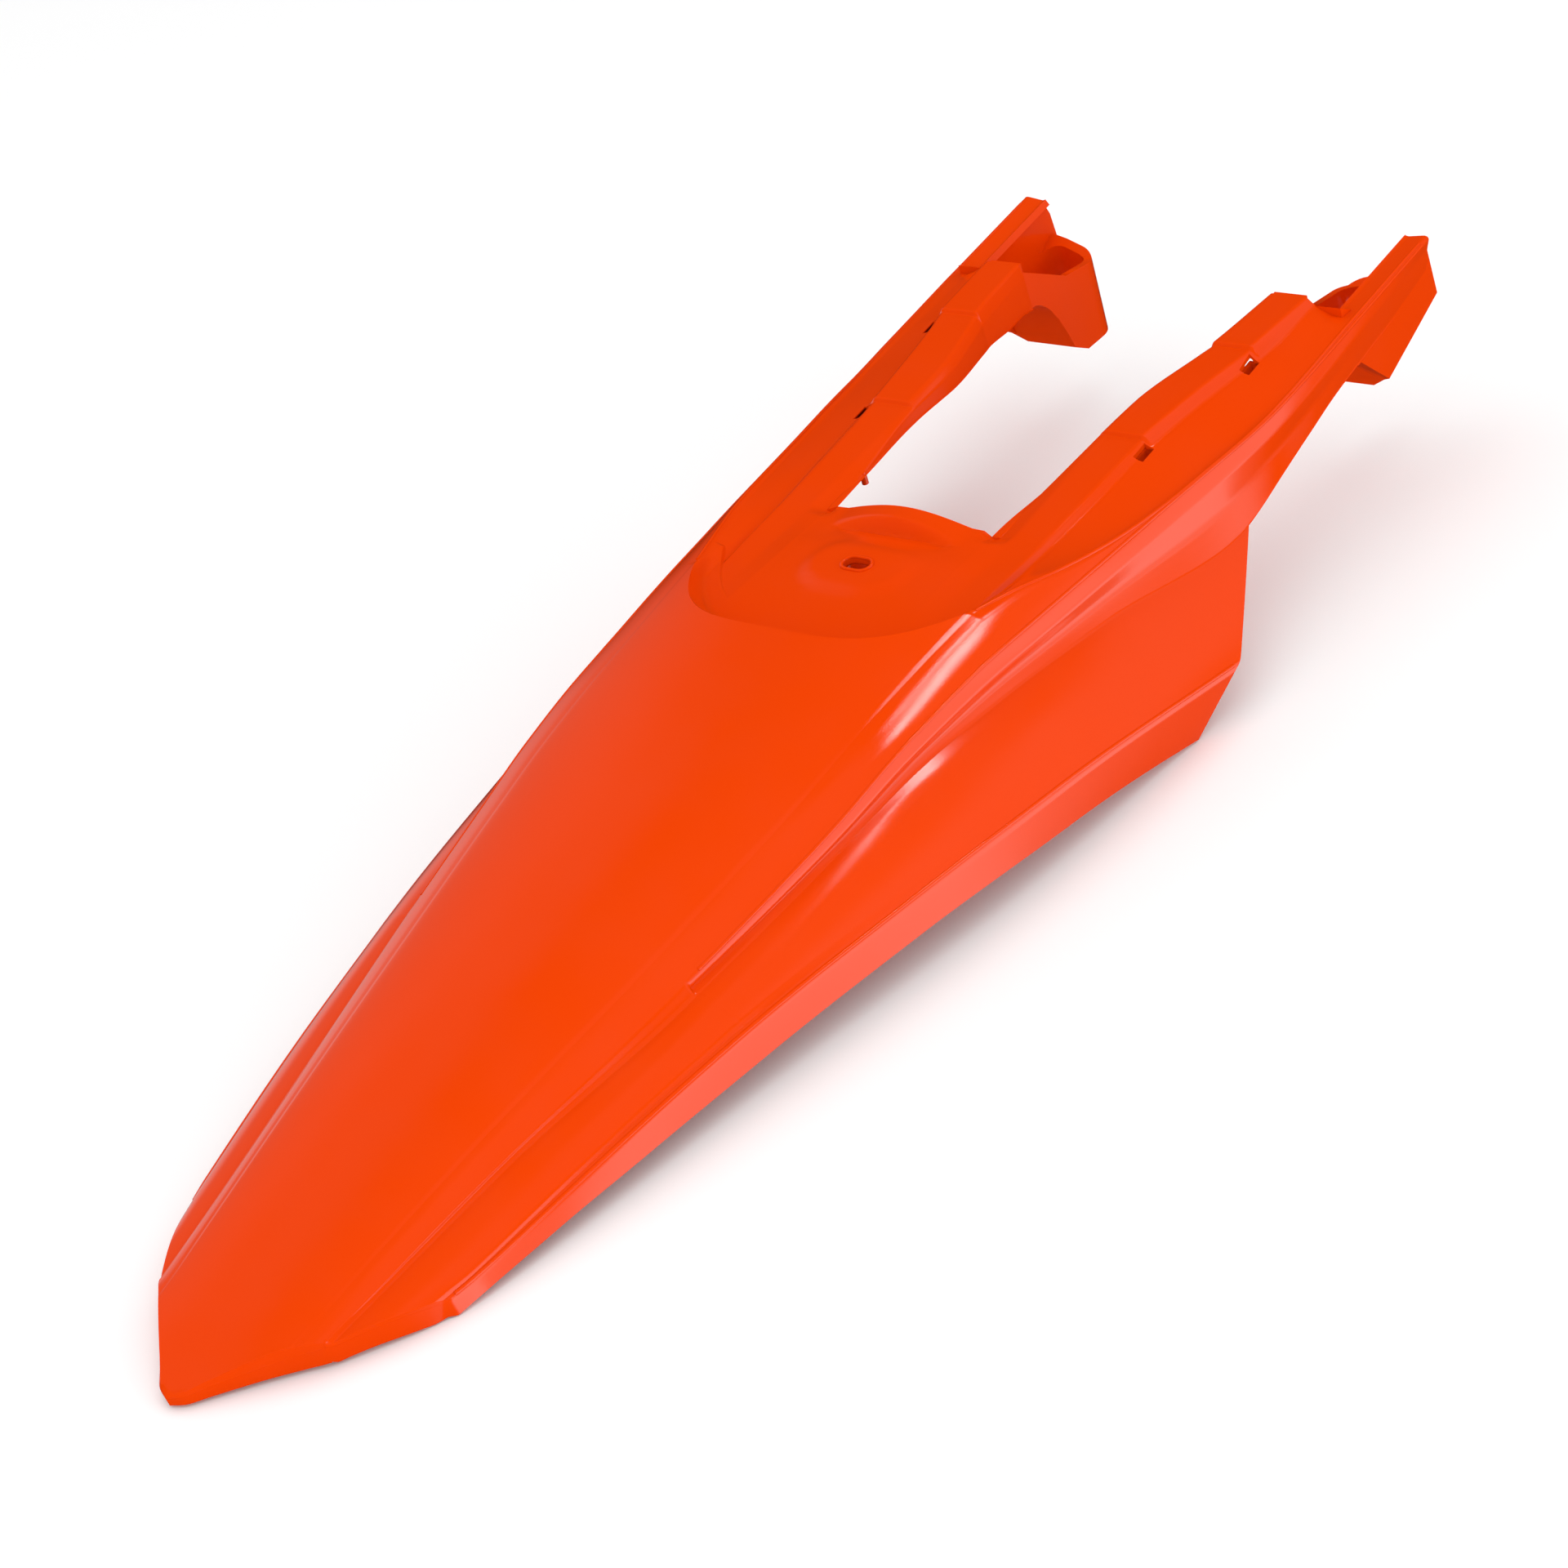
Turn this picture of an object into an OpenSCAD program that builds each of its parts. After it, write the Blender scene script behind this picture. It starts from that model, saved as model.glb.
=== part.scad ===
// Rear fender for an off-road motorcycle, moulded in one piece.
// X runs across the bike (right is +), Y runs forward from the tail tip, Z is up.
// The fender is laid out in its own moulding frame, level along the arms, and then
// pitched so that it rests on its tail tip and the lower corners of its two wings.

/* [Shell] */
// Wall of the moulded skin
wall = 2.6; // [2:0.1:3.5]
// Depth of the turned-down edge flange at the tail
tail_flange = 6.5; // [5:0.5:10]
// Depth of the turned-down edge flange at the front of the wings
wing_flange = 15; // [10:0.5:20]

/* [Stations along the bike, from the tail tip] */
// Blunt bend in the tail outline
tail_bend_y = 37; // [30:1:42]
// Shoulder where the tail meets the straight sides
shoulder_y = 72; // [66:1:80]
// Notch where the side recess begins
notch_y = 208; // [195:1:215]
// Rear edge of the seat deck at the centre line
seat_y = 361; // [350:1:366]
// Front edge of the seat deck at the centre line
lip_y = 453; // [448:1:462]
// Front edge of the wings at the arms
wing_end_y = 529; // [520:1:536]
// Rear step in the seat ledges
rear_step_y = 525; // [515:1:530]
// Front step in the seat ledges
front_step_y = 594; // [585:1:604]
// Front end of the seat ledges
ledge_end_y = 635; // [630:1:640]
// Front end of the arms
arm_end_y = 700; // [694:1:712]

/* [Widths across the bike] */
// Tail at its blunt bend
tail_bend_w = 75; // [70:1:82]
// Tail at its shoulders
shoulder_w = 117; // [110:1:124]
// Skirts over the notch
skirt_w = 168; // [160:1:176]
// Wings at their front, the widest place
wing_w = 244; // [236:1:252]
// Between the dome ridges at the notch
notch_ridge_w = 124.6; // [118:0.2:130]
// Between the dome ridges at the seat edge
seat_ridge_w = 151; // [146:1:156]
// Over the arms at their front end
arm_w = 198.4; // [190:0.2:206]
// Opening between the arms at its rear
opening_w = 77; // [70:1:84]
// Flat top of an arm at its front end
arm_top_w = 10; // [8:0.5:13]

/* [Heights in the moulding frame] */
// Dome crown over the tail outline at the shoulder
crown_shoulder_z = 11; // [8:0.5:14]
// Dome crown at the notch
crown_notch_z = 24; // [20:0.5:28]
// Dome crown at the seat edge
crown_seat_z = 33.5; // [30:0.5:37]
// Dome ridges at their highest
ridge_top_z = 17; // [14:0.5:19]
// Seat deck at its middle
deck_z = 20.5; // [18:0.5:23]
// Raised front lip of the deck at its middle
lip_z = 22.5; // [21:0.5:25]
// Crease of the wings at their front
wing_z = -44; // [-50:1:-38]
// Drop from the seat ledge to the strip beside it
ledge_drop = 4; // [3:0.5:6]
// Rise of each step in the ledge
step_rise = 1.5; // [1:0.25:2.5]

/* [Seat bolt boss] */
// Place of the slotted hole along the bike
boss_y = 417; // [412:1:422]
// Slot length across the bike
slot_l = 12; // [9:0.5:16]
// Slot width along the bike
slot_w = 7; // [5:0.5:9]
// Boss length across the bike
boss_l = 46; // [42:1:50]
// Boss width along the bike
boss_w = 30; // [26:1:32]
// Height of the boss over the deck at its middle
boss_rise = 1; // [0.5:0.25:2]

/* [Front sockets] */
// Inner face of a socket, from the centre line
socket_in_x = 60.5; // [58:0.5:62]
// Outer cheek of a socket, from the centre line
socket_out_x = 89.5; // [87:0.5:91]
// Rear wall of a socket at its foot
socket_rear_y = 660; // [656:1:663]
// Front wall of a socket on its inner side
socket_front_y = 692; // [689:1:695]
// Rim of a socket at its front, in the moulding frame
socket_rim_z = -17.5; // [-22:0.5:-15]
// Foot of a socket at its front, in the moulding frame
socket_foot_z = -57; // [-62:1:-53]
// Wall of a socket
socket_wall = 3; // [2.5:0.25:4]
// Thickness of a socket's outer cheek
cheek_t = 6.5; // [5:0.5:7]
// Corner radius of a socket, outside
socket_r = 14; // [10:0.5:15]

/* [Hidden] */
orange = [0.94, 0.27, 0.0];

// Place of the wings' lower front corners along the bike.
wing_foot_y = wing_end_y - 88;

// Cubic interpolation through the key values of a table of [station, value] pairs.
function slope(t, k) =
    let (last = len(t) - 1)
    k == 0 ? (t[1][1] - t[0][1]) / (t[1][0] - t[0][0]) :
    k == last ? (t[last][1] - t[last - 1][1]) / (t[last][0] - t[last - 1][0]) :
    let (
        a = (t[k][1] - t[k - 1][1]) / (t[k][0] - t[k - 1][0]),
        b = (t[k + 1][1] - t[k][1]) / (t[k + 1][0] - t[k][0])
    )
    a * b <= 0 ? 0 : 2 * a * b / (a + b);
function segment(t, s, k = 0) = k >= len(t) - 2 || s < t[k + 1][0] ? k : segment(t, s, k + 1);
function curve(t, s) =
    s <= t[0][0] ? t[0][1] + (s - t[0][0]) * slope(t, 0) :
    s >= t[len(t) - 1][0] ? t[len(t) - 1][1] + (s - t[len(t) - 1][0]) * slope(t, len(t) - 1) :
    let (
        k = segment(t, s),
        h = t[k + 1][0] - t[k][0],
        u = (s - t[k][0]) / h
    )
    (2 * u ^ 3 - 3 * u ^ 2 + 1) * t[k][1] + (u ^ 3 - 2 * u ^ 2 + u) * h * slope(t, k)
    + (3 * u ^ 2 - 2 * u ^ 3) * t[k + 1][1] + (u ^ 3 - u ^ 2) * h * slope(t, k + 1);
function ramp(a, b, s) = let (u = min(1, max(0, (s - a) / (b - a)))) u * u * (3 - 2 * u);

// Key lines of the outer skin: half width or height against the station along the bike.
crease_x = [[shoulder_y, shoulder_w / 2], [shoulder_y + 12, shoulder_w / 2 + 3.2],
    [notch_y, skirt_w / 2], [287, 98.4], [366, 111.5], [wing_end_y - 57, wing_w / 2]];
crease_z = [[0, 0], [20, 0.3], [tail_bend_y, 0.2], [55, -3.5], [shoulder_y, -6], [155, -4.6], [notch_y, -5.6],
    [287, -11.5], [366, -20.5], [wing_end_y - 57, wing_z]];
ridge_x = [[40, tail_bend_w / 2], [110, 47.5], [notch_y, notch_ridge_w / 2], [259, 69],
    [294, 73], [331, 75.1], [372, seat_ridge_w / 2 + 2.1], [412, 81.5], [454, 85.8], [499, 90],
    [545, 94.6], [580, 96.9], [arm_end_y, arm_w / 2]];
ridge_z = [[40, 1.4], [70, 2.8], [110, 5], [notch_y, 9.9], [259, 12.6], [294, 15], [331, ridge_top_z],
    [372, 16.7], [432, 13], [476, 9.5], [522, 5.9], [570, 2.2], [640, 1], [arm_end_y, 0]];
crown_z = [[0, 0.8], [tail_bend_y, 6.4], [shoulder_y, crown_shoulder_z], [140, 18],
    [notch_y, crown_notch_z], [280, 29.5], [seat_y, crown_seat_z], [430, 36]];
shoulder_dx = [[notch_y, 0.5], [320, 1.6], [430, 2.7], [wing_end_y, 2.6], [600, 1.5],
    [arm_end_y, -1.6]];
shoulder_dz = [[notch_y, 2.6], [320, 5], [430, 6], [wing_end_y, 6], [arm_end_y, 5]];
panel_x = [[notch_y, notch_ridge_w / 2 + 3.3], [259, 71.2], [323, 76], [378, 82], [444, 90.3],
    [wing_end_y, 101.5], [591, 98.3], [622, 96.6], [arm_end_y, 95.5]];
panel_z = [[notch_y, 5.7], [259, 6], [323, 6.2], [378, 2.2], [444, -7], [wing_end_y, -22.5],
    [562, -20.8], [587, -19.9], [612, -19], [arm_end_y, -18]];
flange_depth = [[0, tail_flange - 2.6], [20, tail_flange - 0.6], [tail_bend_y, tail_flange + 1.4],
    [55, tail_flange + 1.6], [84, tail_flange - 0.2], [115, tail_flange + 0.9],
    [155, tail_flange + 4], [215, tail_flange + 6.8], [290, tail_flange + 7.8],
    [366, wing_flange + 3], [wing_foot_y, wing_flange + 7]];
// The fender stands on the tail's flange, just behind its shoulders, and on the wings' lower
// front corners. The pitch brings them level, and rest_z is where that level meets the tail tip.
tail_tip_z = 0.6;
tail_foot_y = shoulder_y - 3;
tail_foot_z = curve(crease_z, tail_foot_y) + tail_tip_z - curve(flange_depth, tail_foot_y);
wing_foot_z = curve(crease_z, wing_foot_y + 2) - curve(flange_depth, wing_foot_y + 2);
rest_pitch = atan2(tail_foot_z - wing_foot_z, wing_foot_y + 2 - tail_foot_y);
rest_z = tail_foot_z + tail_foot_y * tan(rest_pitch);

// Key lines of the deck and of the top of the arms.
edge_x = [[398, opening_w / 2 - 0.8], [lip_y, opening_w / 2 - 0.8], [480, 39.8], [517, 43],
    [548, 44.2], [586, 51.9], [front_step_y, 54], [ledge_end_y, 59.2]];
rim_x = [[398, opening_w / 2 + 4], [lip_y, opening_w / 2], [480, 40.4], [517, 43.6],
    [548, 44.9], [586, 52.6], [front_step_y, 54.7], [ledge_end_y, 59.8]];
fold_x = [[398, 48.3], [lip_y + 4, 47.3], [490, 46.8], [517, 46.4], [548, 47.4], [586, 55],
    [front_step_y, 56.8], [ledge_end_y, 60.8]];
ledge_x = [[398, 57], [440, 60], [467, 61.2], [517, 63], [547, 66.2], [582, 71.7],
    [front_step_y, 74.2], [ledge_end_y, 77.3]];
crest_x = [[398, 63.5], [407, 66.4], [420, 70.3], [437, 76], [455, 81], [480, 86], [510, 90],
    [550, 94], [580, 95.8], [arm_end_y, arm_w / 2 - 1.2]];
ledge_z = [[398, 20.5], [440, 18.3], [lip_y + 4, 17.2], [rear_step_y, 15.8], [front_step_y, 11.8],
    [ledge_end_y, 9]];
edge_z = [[398, 15.5], [lip_y + 4, 14], [485, 11.8], [rear_step_y, 8.4], [554, 4],
    [front_step_y, -3.2], [615, -8], [625, -9], [ledge_end_y, -12.5]];
rim_drop = [[398, 4], [lip_y + 4, 2.4], [490, 1.4], [517, 0.6], [ledge_end_y, 0.5]];

// Rear edge of the deck in plan: square across the bike, then turning to run along the arms.
seat_sweep = 37;
seat_turn_x = 63.5;
// Length of the slope that falls from the dome to the deck.
seat_slope = 9;
function seat_shift(x) = seat_sweep * min(1, abs(x) / seat_turn_x) ^ 3.6;
// Outline of the tail in plan.
tail_outline = [[0, 0], [5, 2.5], [10, 8], [tail_bend_w / 2 - 6, tail_bend_y - 5.8],
    [tail_bend_w / 2, tail_bend_y], [shoulder_w / 2 - 12, shoulder_y - 22],
    [shoulder_w / 2 - 5, shoulder_y - 10.5], [shoulder_w / 2, shoulder_y]];
function tail_y(x) = curve(tail_outline, min(abs(x), shoulder_w / 2));

// Crossing lines: [place at the centre line, share of the tail outline, share of the seat sweep]
stations = [
    [0, 1, 0], [6, 0.95, 0], [14, 0.88, 0], [28, 0.78, 0], [50, 0.62, 0], [76, 0.44, 0],
    [106, 0.26, 0], [140, 0.12, 0], [174, 0.04, 0], [notch_y - 1, 0, 0], [notch_y + 1.5, 0, 0],
    [248, 0, 0.1], [288, 0, 0.36], [326, 0, 0.7],
    [seat_y, 0, 1], [seat_y + seat_slope, 0, 1], [seat_y + 17, 0, 1], [seat_y + 18.5, 0, 1],
    [seat_y + 38, 0, 0.9], [lip_y - 28, 0, 0.64], [lip_y - 12, 0, 0.32], [lip_y - 6, 0, 0.22],
    [lip_y, 0, 0.11],
    [473, 0, 0], [491, 0, 0], [508, 0, 0], [rear_step_y - 1, 0, 0], [rear_step_y + 0.5, 0, 0],
    [wing_end_y + 2, 0, 0], [548, 0, 0], [567, 0, 0], [582, 0, 0], [front_step_y - 1, 0, 0],
    [front_step_y + 0.5, 0, 0], [616, 0, 0], [ledge_end_y, 0, 0],
    [665, 0, 0], [arm_end_y, 0, 0]];
function index_of(y) = len([for (s = stations) if (s[0] < y - 0.01) s]);
SEAT = index_of(seat_y);
RISER = index_of(seat_y + 18.5);
LIP = index_of(lip_y);
WING = index_of(wing_end_y);
LEDGE = index_of(ledge_end_y);
LAST = len(stations) - 1;

// Running lines, numbered from the centre line outwards.
DECK = 6;
EDGE = 7;
RIM = 8;
FOLD = 9;
TOP = 10;
FOOT = 11;
STRIP = 12;
CREST = 13;
RIDGE = 14;
SHOULDER = 15;
BAND = 16;
PANEL = 17;
CREASE = 20;
FLANGE = 21;
// Drop from the crest of an arm to the strip inside it.
strip_drop = 1.6;
// How far each side line lags behind its station where the wings end.
side_lag = [3, 19, 38, 57, 88];
lag_from_y = 330;

seat_station = seat_y + seat_sweep;
function arm_station(i) =
    stations[i][0] + stations[i][1] * tail_bend_y + stations[i][2] * seat_sweep;
function lag(i, j) = j < PANEL ? 0 : side_lag[j - PANEL]
    * min(1, max(0, (arm_station(i) - lag_from_y) / (wing_end_y + 2 - lag_from_y)));
function station_y(i, x, j) =
    stations[i][0] + stations[i][1] * tail_y(x) + stations[i][2] * seat_shift(x) - lag(i, j);

// Height of the dome, and of the outer edge of the arms that carries it on.
function dome_z(x, y) =
    let (
        s = max(y, ridge_x[0][0]),
        r = curve(ridge_x, s),
        z = curve(ridge_z, s)
    )
    z + (curve(crown_z, y) - z) * (1 - min(1, abs(x) / r) ^ 2.2);
// Height of the deck's outer edge.
deck_side_z = [[seat_y, 20.2], [398, 19.5], [430, 17.4], [lip_y, 15.6]];
// Height of the seat deck, which dips towards the opening and rises to its front lip.
function deck_height(x, y) =
    let (
        side_z = curve(deck_side_z, y),
        dip = 2.5 * ramp(boss_y + 8, lip_y - 12, y),
        lip = (lip_z - deck_z + 2.5) * ramp(lip_y - 12, lip_y - 5, y)
            * max(0, cos(min(90, abs(x) * 90 / 28)))
    )
    deck_z - dip - (deck_z - dip - side_z) * min(1, abs(x) / 46) ^ 2 + lip;

// Half width of each running line from the centre line to the ridge.
function inner_x(i, j) =
    let (
        b = max(arm_station(i), seat_station),
        narrow = curve(ridge_x, min(arm_station(i), seat_station)) / curve(ridge_x, seat_station)
    )
    narrow * (
        j <= DECK ? curve(edge_x, b) * j / EDGE :
        j == EDGE ? curve(edge_x, b) :
        j == RIM ? curve(rim_x, b) :
        j == FOLD ? curve(fold_x, b) :
        j == TOP ? curve(ledge_x, b) :
        j == FOOT ? curve(ledge_x, b) + ledge_drop * (0.4 + 0.5 * ramp(400, 500, b)) :
        j == STRIP ? curve(crest_x, b) - 1.5 - (arm_top_w - 2.7) * ramp(540, 632, b) :
        j == CREST ? curve(crest_x, b) :
        curve(ridge_x, b));
// Steps up already passed by the ledge at a station.
function steps_passed(i) =
    (stations[i][0] > rear_step_y ? 1 : 0) + (stations[i][0] > front_step_y ? 1 : 0);
function deck_z_at(i, j, x, y) =
    let (
        b = arm_station(i),
        on_ledge = i >= RISER,
        floor = deck_height(x, y),
        ledge = curve(ledge_z, b) + step_rise * (steps_passed(i) - 1)
    )
    j <= DECK ? floor :
    j == EDGE ? (i < LIP ? min(floor, curve(edge_z, b)) : curve(edge_z, b)) :
    j == RIM ? (on_ledge ? min(ledge - curve(rim_drop, b), floor + 3) : floor) :
    j == FOLD || j == TOP ? (on_ledge ? ledge : floor) :
    j == FOOT ? (on_ledge ? curve(ledge_z, b) - 1 - (ledge_drop - 1) * ramp(398, 436, b) : floor) :
    dome_z(curve(crest_x, b), y) - strip_drop;

// Fold under the dome ridge: a growing facet up to the notch, then the recess over the wing.
function side_point(i, j) =
    let (
        b = arm_station(i),
        rx = curve(ridge_x, b),
        rz = curve(ridge_z, b),
        grow = ramp(112, notch_y - 2, b),
        recessed = b > notch_y,
        sx = rx + (recessed ? curve(shoulder_dx, b) : 0.4 + 1.9 * grow),
        sz = rz - (recessed ? curve(shoulder_dz, b) : 0.3 + 3 * grow),
        py = b - lag(i, PANEL),
        px = recessed ? curve(panel_x, b) : sx + 1,
        pz = recessed ? curve(panel_z, b) : sz - 0.9,
        hollow = recessed ? 1.8 * (1 - ramp(560, 640, b)) : 0,
        x = j == SHOULDER ? sx : j == BAND ? (sx + px) / 2 - hollow : px,
        z = j == SHOULDER ? sz : j == BAND ? (sz + pz) / 2 : pz
    )
    [x, station_y(i, x, j), z];
function crease_point(i) =
    let (y = station_y(i, seat_turn_x, CREASE), x = curve(crease_x, y))
    [x, y, curve(crease_z, y)];
function panel_point(i, j) =
    let (
        u = (j - PANEL) / (CREASE - PANEL),
        a = side_point(i, PANEL),
        c = crease_point(i),
        bulge = 1.6 * sin(180 * u) * (1 - 0.6 * ramp(300, 460, stations[i][0])),
        x = a[0] + (c[0] - a[0]) * u
    )
    [x + bulge / 2, station_y(i, x, j), a[2] + (c[2] - a[2]) * u + bulge];
function flange_point(i) =
    let (y = station_y(i, seat_turn_x, FLANGE))
    [curve(crease_x, y) + 1.5 - 3 * ramp(300, wing_end_y - 88, y), y + (i == 0 ? 4 : 0),
     curve(crease_z, y) - curve(flange_depth, y)];
function skin_point(i, j) =
    j == FLANGE ? flange_point(i) :
    j == CREASE ? crease_point(i) :
    j > PANEL ? panel_point(i, j) :
    j > RIDGE ? side_point(i, j) :
    let (x = inner_x(i, j), y = station_y(i, x, j))
    [x, y, i == 0 ? curve(crease_z, y) + tail_tip_z : i > SEAT && j < CREST ? deck_z_at(i, j, x, y) : dome_z(x, y)];
// The edge flange hangs from the tail outline as one more crossing line.
function tail_flange_point(j) =
    let (p = skin_point(0, min(j, CREASE)))
    p + (j == FLANGE ? [0.5, -0.5, -tail_flange] :
         j == CREASE ? [-0.5, -2.5, -tail_flange] :
         [0, 0.1, -curve(flange_depth, p[1])]);

// One row per crossing line, from the left flange over the centre line to the right flange.
rows = [for (i = [-1:LAST])
    let (half = [for (j = [0:FLANGE]) i < 0 ? tail_flange_point(j) : skin_point(i, j)])
    [for (k = [-FLANGE:FLANGE]) k < 0 ? [-half[-k][0], half[-k][1], half[-k][2]] : half[k]]];
row_count = len(rows);
line_count = 2 * FLANGE + 1;

// Whether the skin covers the cell between lines j and j + 1, stations i and i + 1.
function covered(i, k) =
    let (j = k >= FLANGE ? k - FLANGE : FLANGE - 1 - k)
    i < 0 || k < 0 || i >= row_count - 1 || k >= line_count - 1 ? false :
    i - 1 < LIP ? true :
    i - 1 < WING ? j >= EDGE :
    i - 1 < LEDGE ? j >= EDGE && j < PANEL :
    j >= STRIP && j < PANEL;
cells = [for (i = [0:row_count - 1]) [for (k = [0:line_count - 1]) covered(i, k)]];
function cell(i, k) = i < 0 || k < 0 ? false : cells[i][k];

function unit(v) = v / max(norm(v), 0.0001);
function cell_normal(i, k) =
    unit(cross(rows[i + 1][k + 1] - rows[i][k], rows[i + 1][k] - rows[i][k + 1]));
normals = [for (i = [0:row_count - 2]) [for (k = [0:line_count - 2]) cell_normal(i, k)]];
// Inner face of the skin: each point moved in by the wall, square to the faces that meet there.
// Along the arms, where the lines run close together, each line moves in its own direction.
arm_inset = [[EDGE, [1, 0, 0.1]], [RIM, [1, 0, -1]], [FOLD, [1, 0, -1]], [TOP, [0.3, 0, -1]],
    [FOOT, [-0.1, 0, -1]], [STRIP, [-0.6, 0, -1]], [CREST, [-1, 0, -1]], [RIDGE, [-1, 0, -1]],
    [SHOULDER, [-1, 0, -0.5]], [BAND, [-1, 0, -0.4]], [PANEL, [-0.9, 0, -0.5]]];
function inset(i, k) =
    let (
        j = abs(k - FLANGE),
        side = k < FLANGE ? -1 : 1,
        on_arm = i - 1 >= LIP && j >= EDGE && j <= PANEL,
        way = arm_inset[max(0, min(PANEL, j) - EDGE)][1],
        near = [for (a = [i - 1, i], b = [k - 1, k]) if (cell(a, b)) normals[a][b]],
        mean = len(near) == 0 ? [0, 0, 1] : sum(near) / len(near)
    )
    on_arm ? rows[i][k] + wall * [side * way[0], way[1], way[2]] :
    rows[i][k] - unit(mean) * wall / max(0.72, norm(mean));
function sum(v, k = 0) = k == len(v) - 1 ? v[k] : v[k] + sum(v, k + 1);

function outer_id(i, k) = i * line_count + k;
function inner_id(i, k) = (row_count + i) * line_count + k;
function split(a, b, c, d, flip) = flip ? [[a, b, c], [a, c, d]] : [[a, b, d], [b, c, d]];
skin_points = concat(
    [for (i = [0:row_count - 1], k = [0:line_count - 1]) rows[i][k]],
    [for (i = [0:row_count - 1], k = [0:line_count - 1]) inset(i, k)]);
skin_faces = [
    for (i = [0:row_count - 2], k = [0:line_count - 2]) if (cell(i, k))
        let (right = k >= FLANGE)
        each concat(
            split(outer_id(i, k), outer_id(i + 1, k), outer_id(i + 1, k + 1), outer_id(i, k + 1),
                right),
            split(inner_id(i, k), inner_id(i, k + 1), inner_id(i + 1, k + 1), inner_id(i + 1, k),
                right),
            cell(i, k - 1) ? [] :
                split(outer_id(i, k), inner_id(i, k), inner_id(i + 1, k), outer_id(i + 1, k), right),
            cell(i, k + 1) ? [] :
                split(outer_id(i, k + 1), outer_id(i + 1, k + 1), inner_id(i + 1, k + 1),
                    inner_id(i, k + 1), right),
            cell(i - 1, k) ? [] :
                split(outer_id(i, k), outer_id(i, k + 1), inner_id(i, k + 1), inner_id(i, k), right),
            i < row_count - 1 && cell(i + 1, k) ? [] :
                split(outer_id(i + 1, k), inner_id(i + 1, k), inner_id(i + 1, k + 1),
                    outer_id(i + 1, k + 1), right))];
module skin() {
    polyhedron(points = skin_points, faces = skin_faces);
}

// Points of a turn about a corner centre, from one angle to another.
function corner(cx, cy, r, a0, a1, n = 8) =
    [for (k = [0:n]) [cx + r * cos(a0 + (a1 - a0) * k / n), cy + r * sin(a0 + (a1 - a0) * k / n)]];

// Plan of a socket on the right arm, pulled in by the given amount. Its front wall slants
// forward from the inner corner to the arm end.
socket_slant = 17;
function socket_plan(inset_by) =
    let (
        x0 = socket_in_x + inset_by,
        x1 = socket_out_x + 3,
        y1 = socket_front_y - inset_by / cos(socket_slant),
        r = socket_r - inset_by,
        front = y1 + (x1 - x0) * tan(socket_slant)
    )
    concat([[x0, ledge_end_y - 20], [x1, ledge_end_y - 20], [x1, front]],
        corner(x0 + r, y1 + r * tan(socket_slant) - r / cos(socket_slant), r, 90 + socket_slant, 180));

// Side profile of a socket: upright behind the ledge, then a rear wall that arches forward and
// down to the heel. The rim falls from the ledge to the front, and the foot from heel to toe.
socket_bend_z = -12;
socket_heel_z = -48;
socket_arch = [[5, 1], [8.5, 3.2], [14.5, 9.5], [18.5, 17], [22.5, 27]];
rim_bend = [665, -14];
function socket_side(inset_by) =
    let (
        top = curve(ledge_z, ledge_end_y) - 2,
        rear = ledge_end_y - 0.5 + inset_by,
        heel_y = socket_rear_y + inset_by,
        cut = 4 * inset_by,
        over = 12 * inset_by
    )
    concat([[rear, top + over], [rear, socket_bend_z]],
        [for (p = socket_arch) [rear + p[0], socket_bend_z - p[1]]],
        [[heel_y, socket_heel_z], [heel_y, socket_heel_z - cut],
         [heel_y + 9, socket_foot_z + 2.5 - cut], [socket_front_y - 3, socket_foot_z - cut],
         [arm_end_y + 12, socket_foot_z - cut], [arm_end_y + 12, socket_rim_z + over],
         [socket_front_y + 6, socket_rim_z + over], [socket_front_y - 2, socket_rim_z - 3 + over],
         [rim_bend[0], rim_bend[1] + over]]);

module socket_form(inset_by) {
    intersection() {
        translate([0, 0, -80])
            linear_extrude(height = 100)
                polygon(socket_plan(inset_by));
        rotate([90, 0, 90])
            linear_extrude(height = arm_w)
                polygon(socket_side(inset_by));
    }
}

// Outer cheek of a socket: the arm wall carried down and forward to the arm end.
cheek_top = -1.2;
cheek_toe = [arm_end_y + 5, -31];
module socket_cheek() {
    translate([socket_out_x, 0, 0])
        rotate([90, 0, 90])
            linear_extrude(height = cheek_t)
                polygon([[ledge_end_y - 0.5, cheek_top], [arm_end_y - 0.4, cheek_top],
                    [arm_end_y + 2.5, cheek_top - 7], cheek_toe,
                    [socket_rear_y, socket_heel_z + 3], [ledge_end_y + 2, -20],
                    [ledge_end_y - 0.5, -20]]);
}

// Wall that closes the end of the ledge above the socket.
module ledge_end() {
    top = curve(ledge_z, ledge_end_y) + step_rise - 1;
    inner = socket_in_x + 1;
    translate([inner, ledge_end_y - 0.5, socket_bend_z + 2])
        cube([curve(ledge_x, ledge_end_y) - inner - 1, socket_wall, top - socket_bend_z - 2]);
}

// Everything above the bevel that lifts the outer front foot of the socket.
module foot_bevel() {
    translate([socket_out_x + cheek_t, arm_end_y + 4, -30])
        rotate([9.9, -38.5, 0])
            translate([-200, -200, 0])
                cube([400, 400, 200]);
}

module socket() {
    intersection() {
        union() {
            difference() {
                socket_form(0);
                socket_form(socket_wall);
            }
            socket_cheek();
            ledge_end();
        }
        foot_bevel();
    }
}

// Slot across the bike with round ends, standing up from the given height.
module slot(length, width, height) {
    half = (length - width) / 2;
    for (side = [-1, 1])
        translate([side * half, 0, 0])
            cylinder(h = height, r = width / 2, $fn = 48);
    translate([-half, -width / 2, 0])
        cube([2 * half, width, height]);
}

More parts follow.
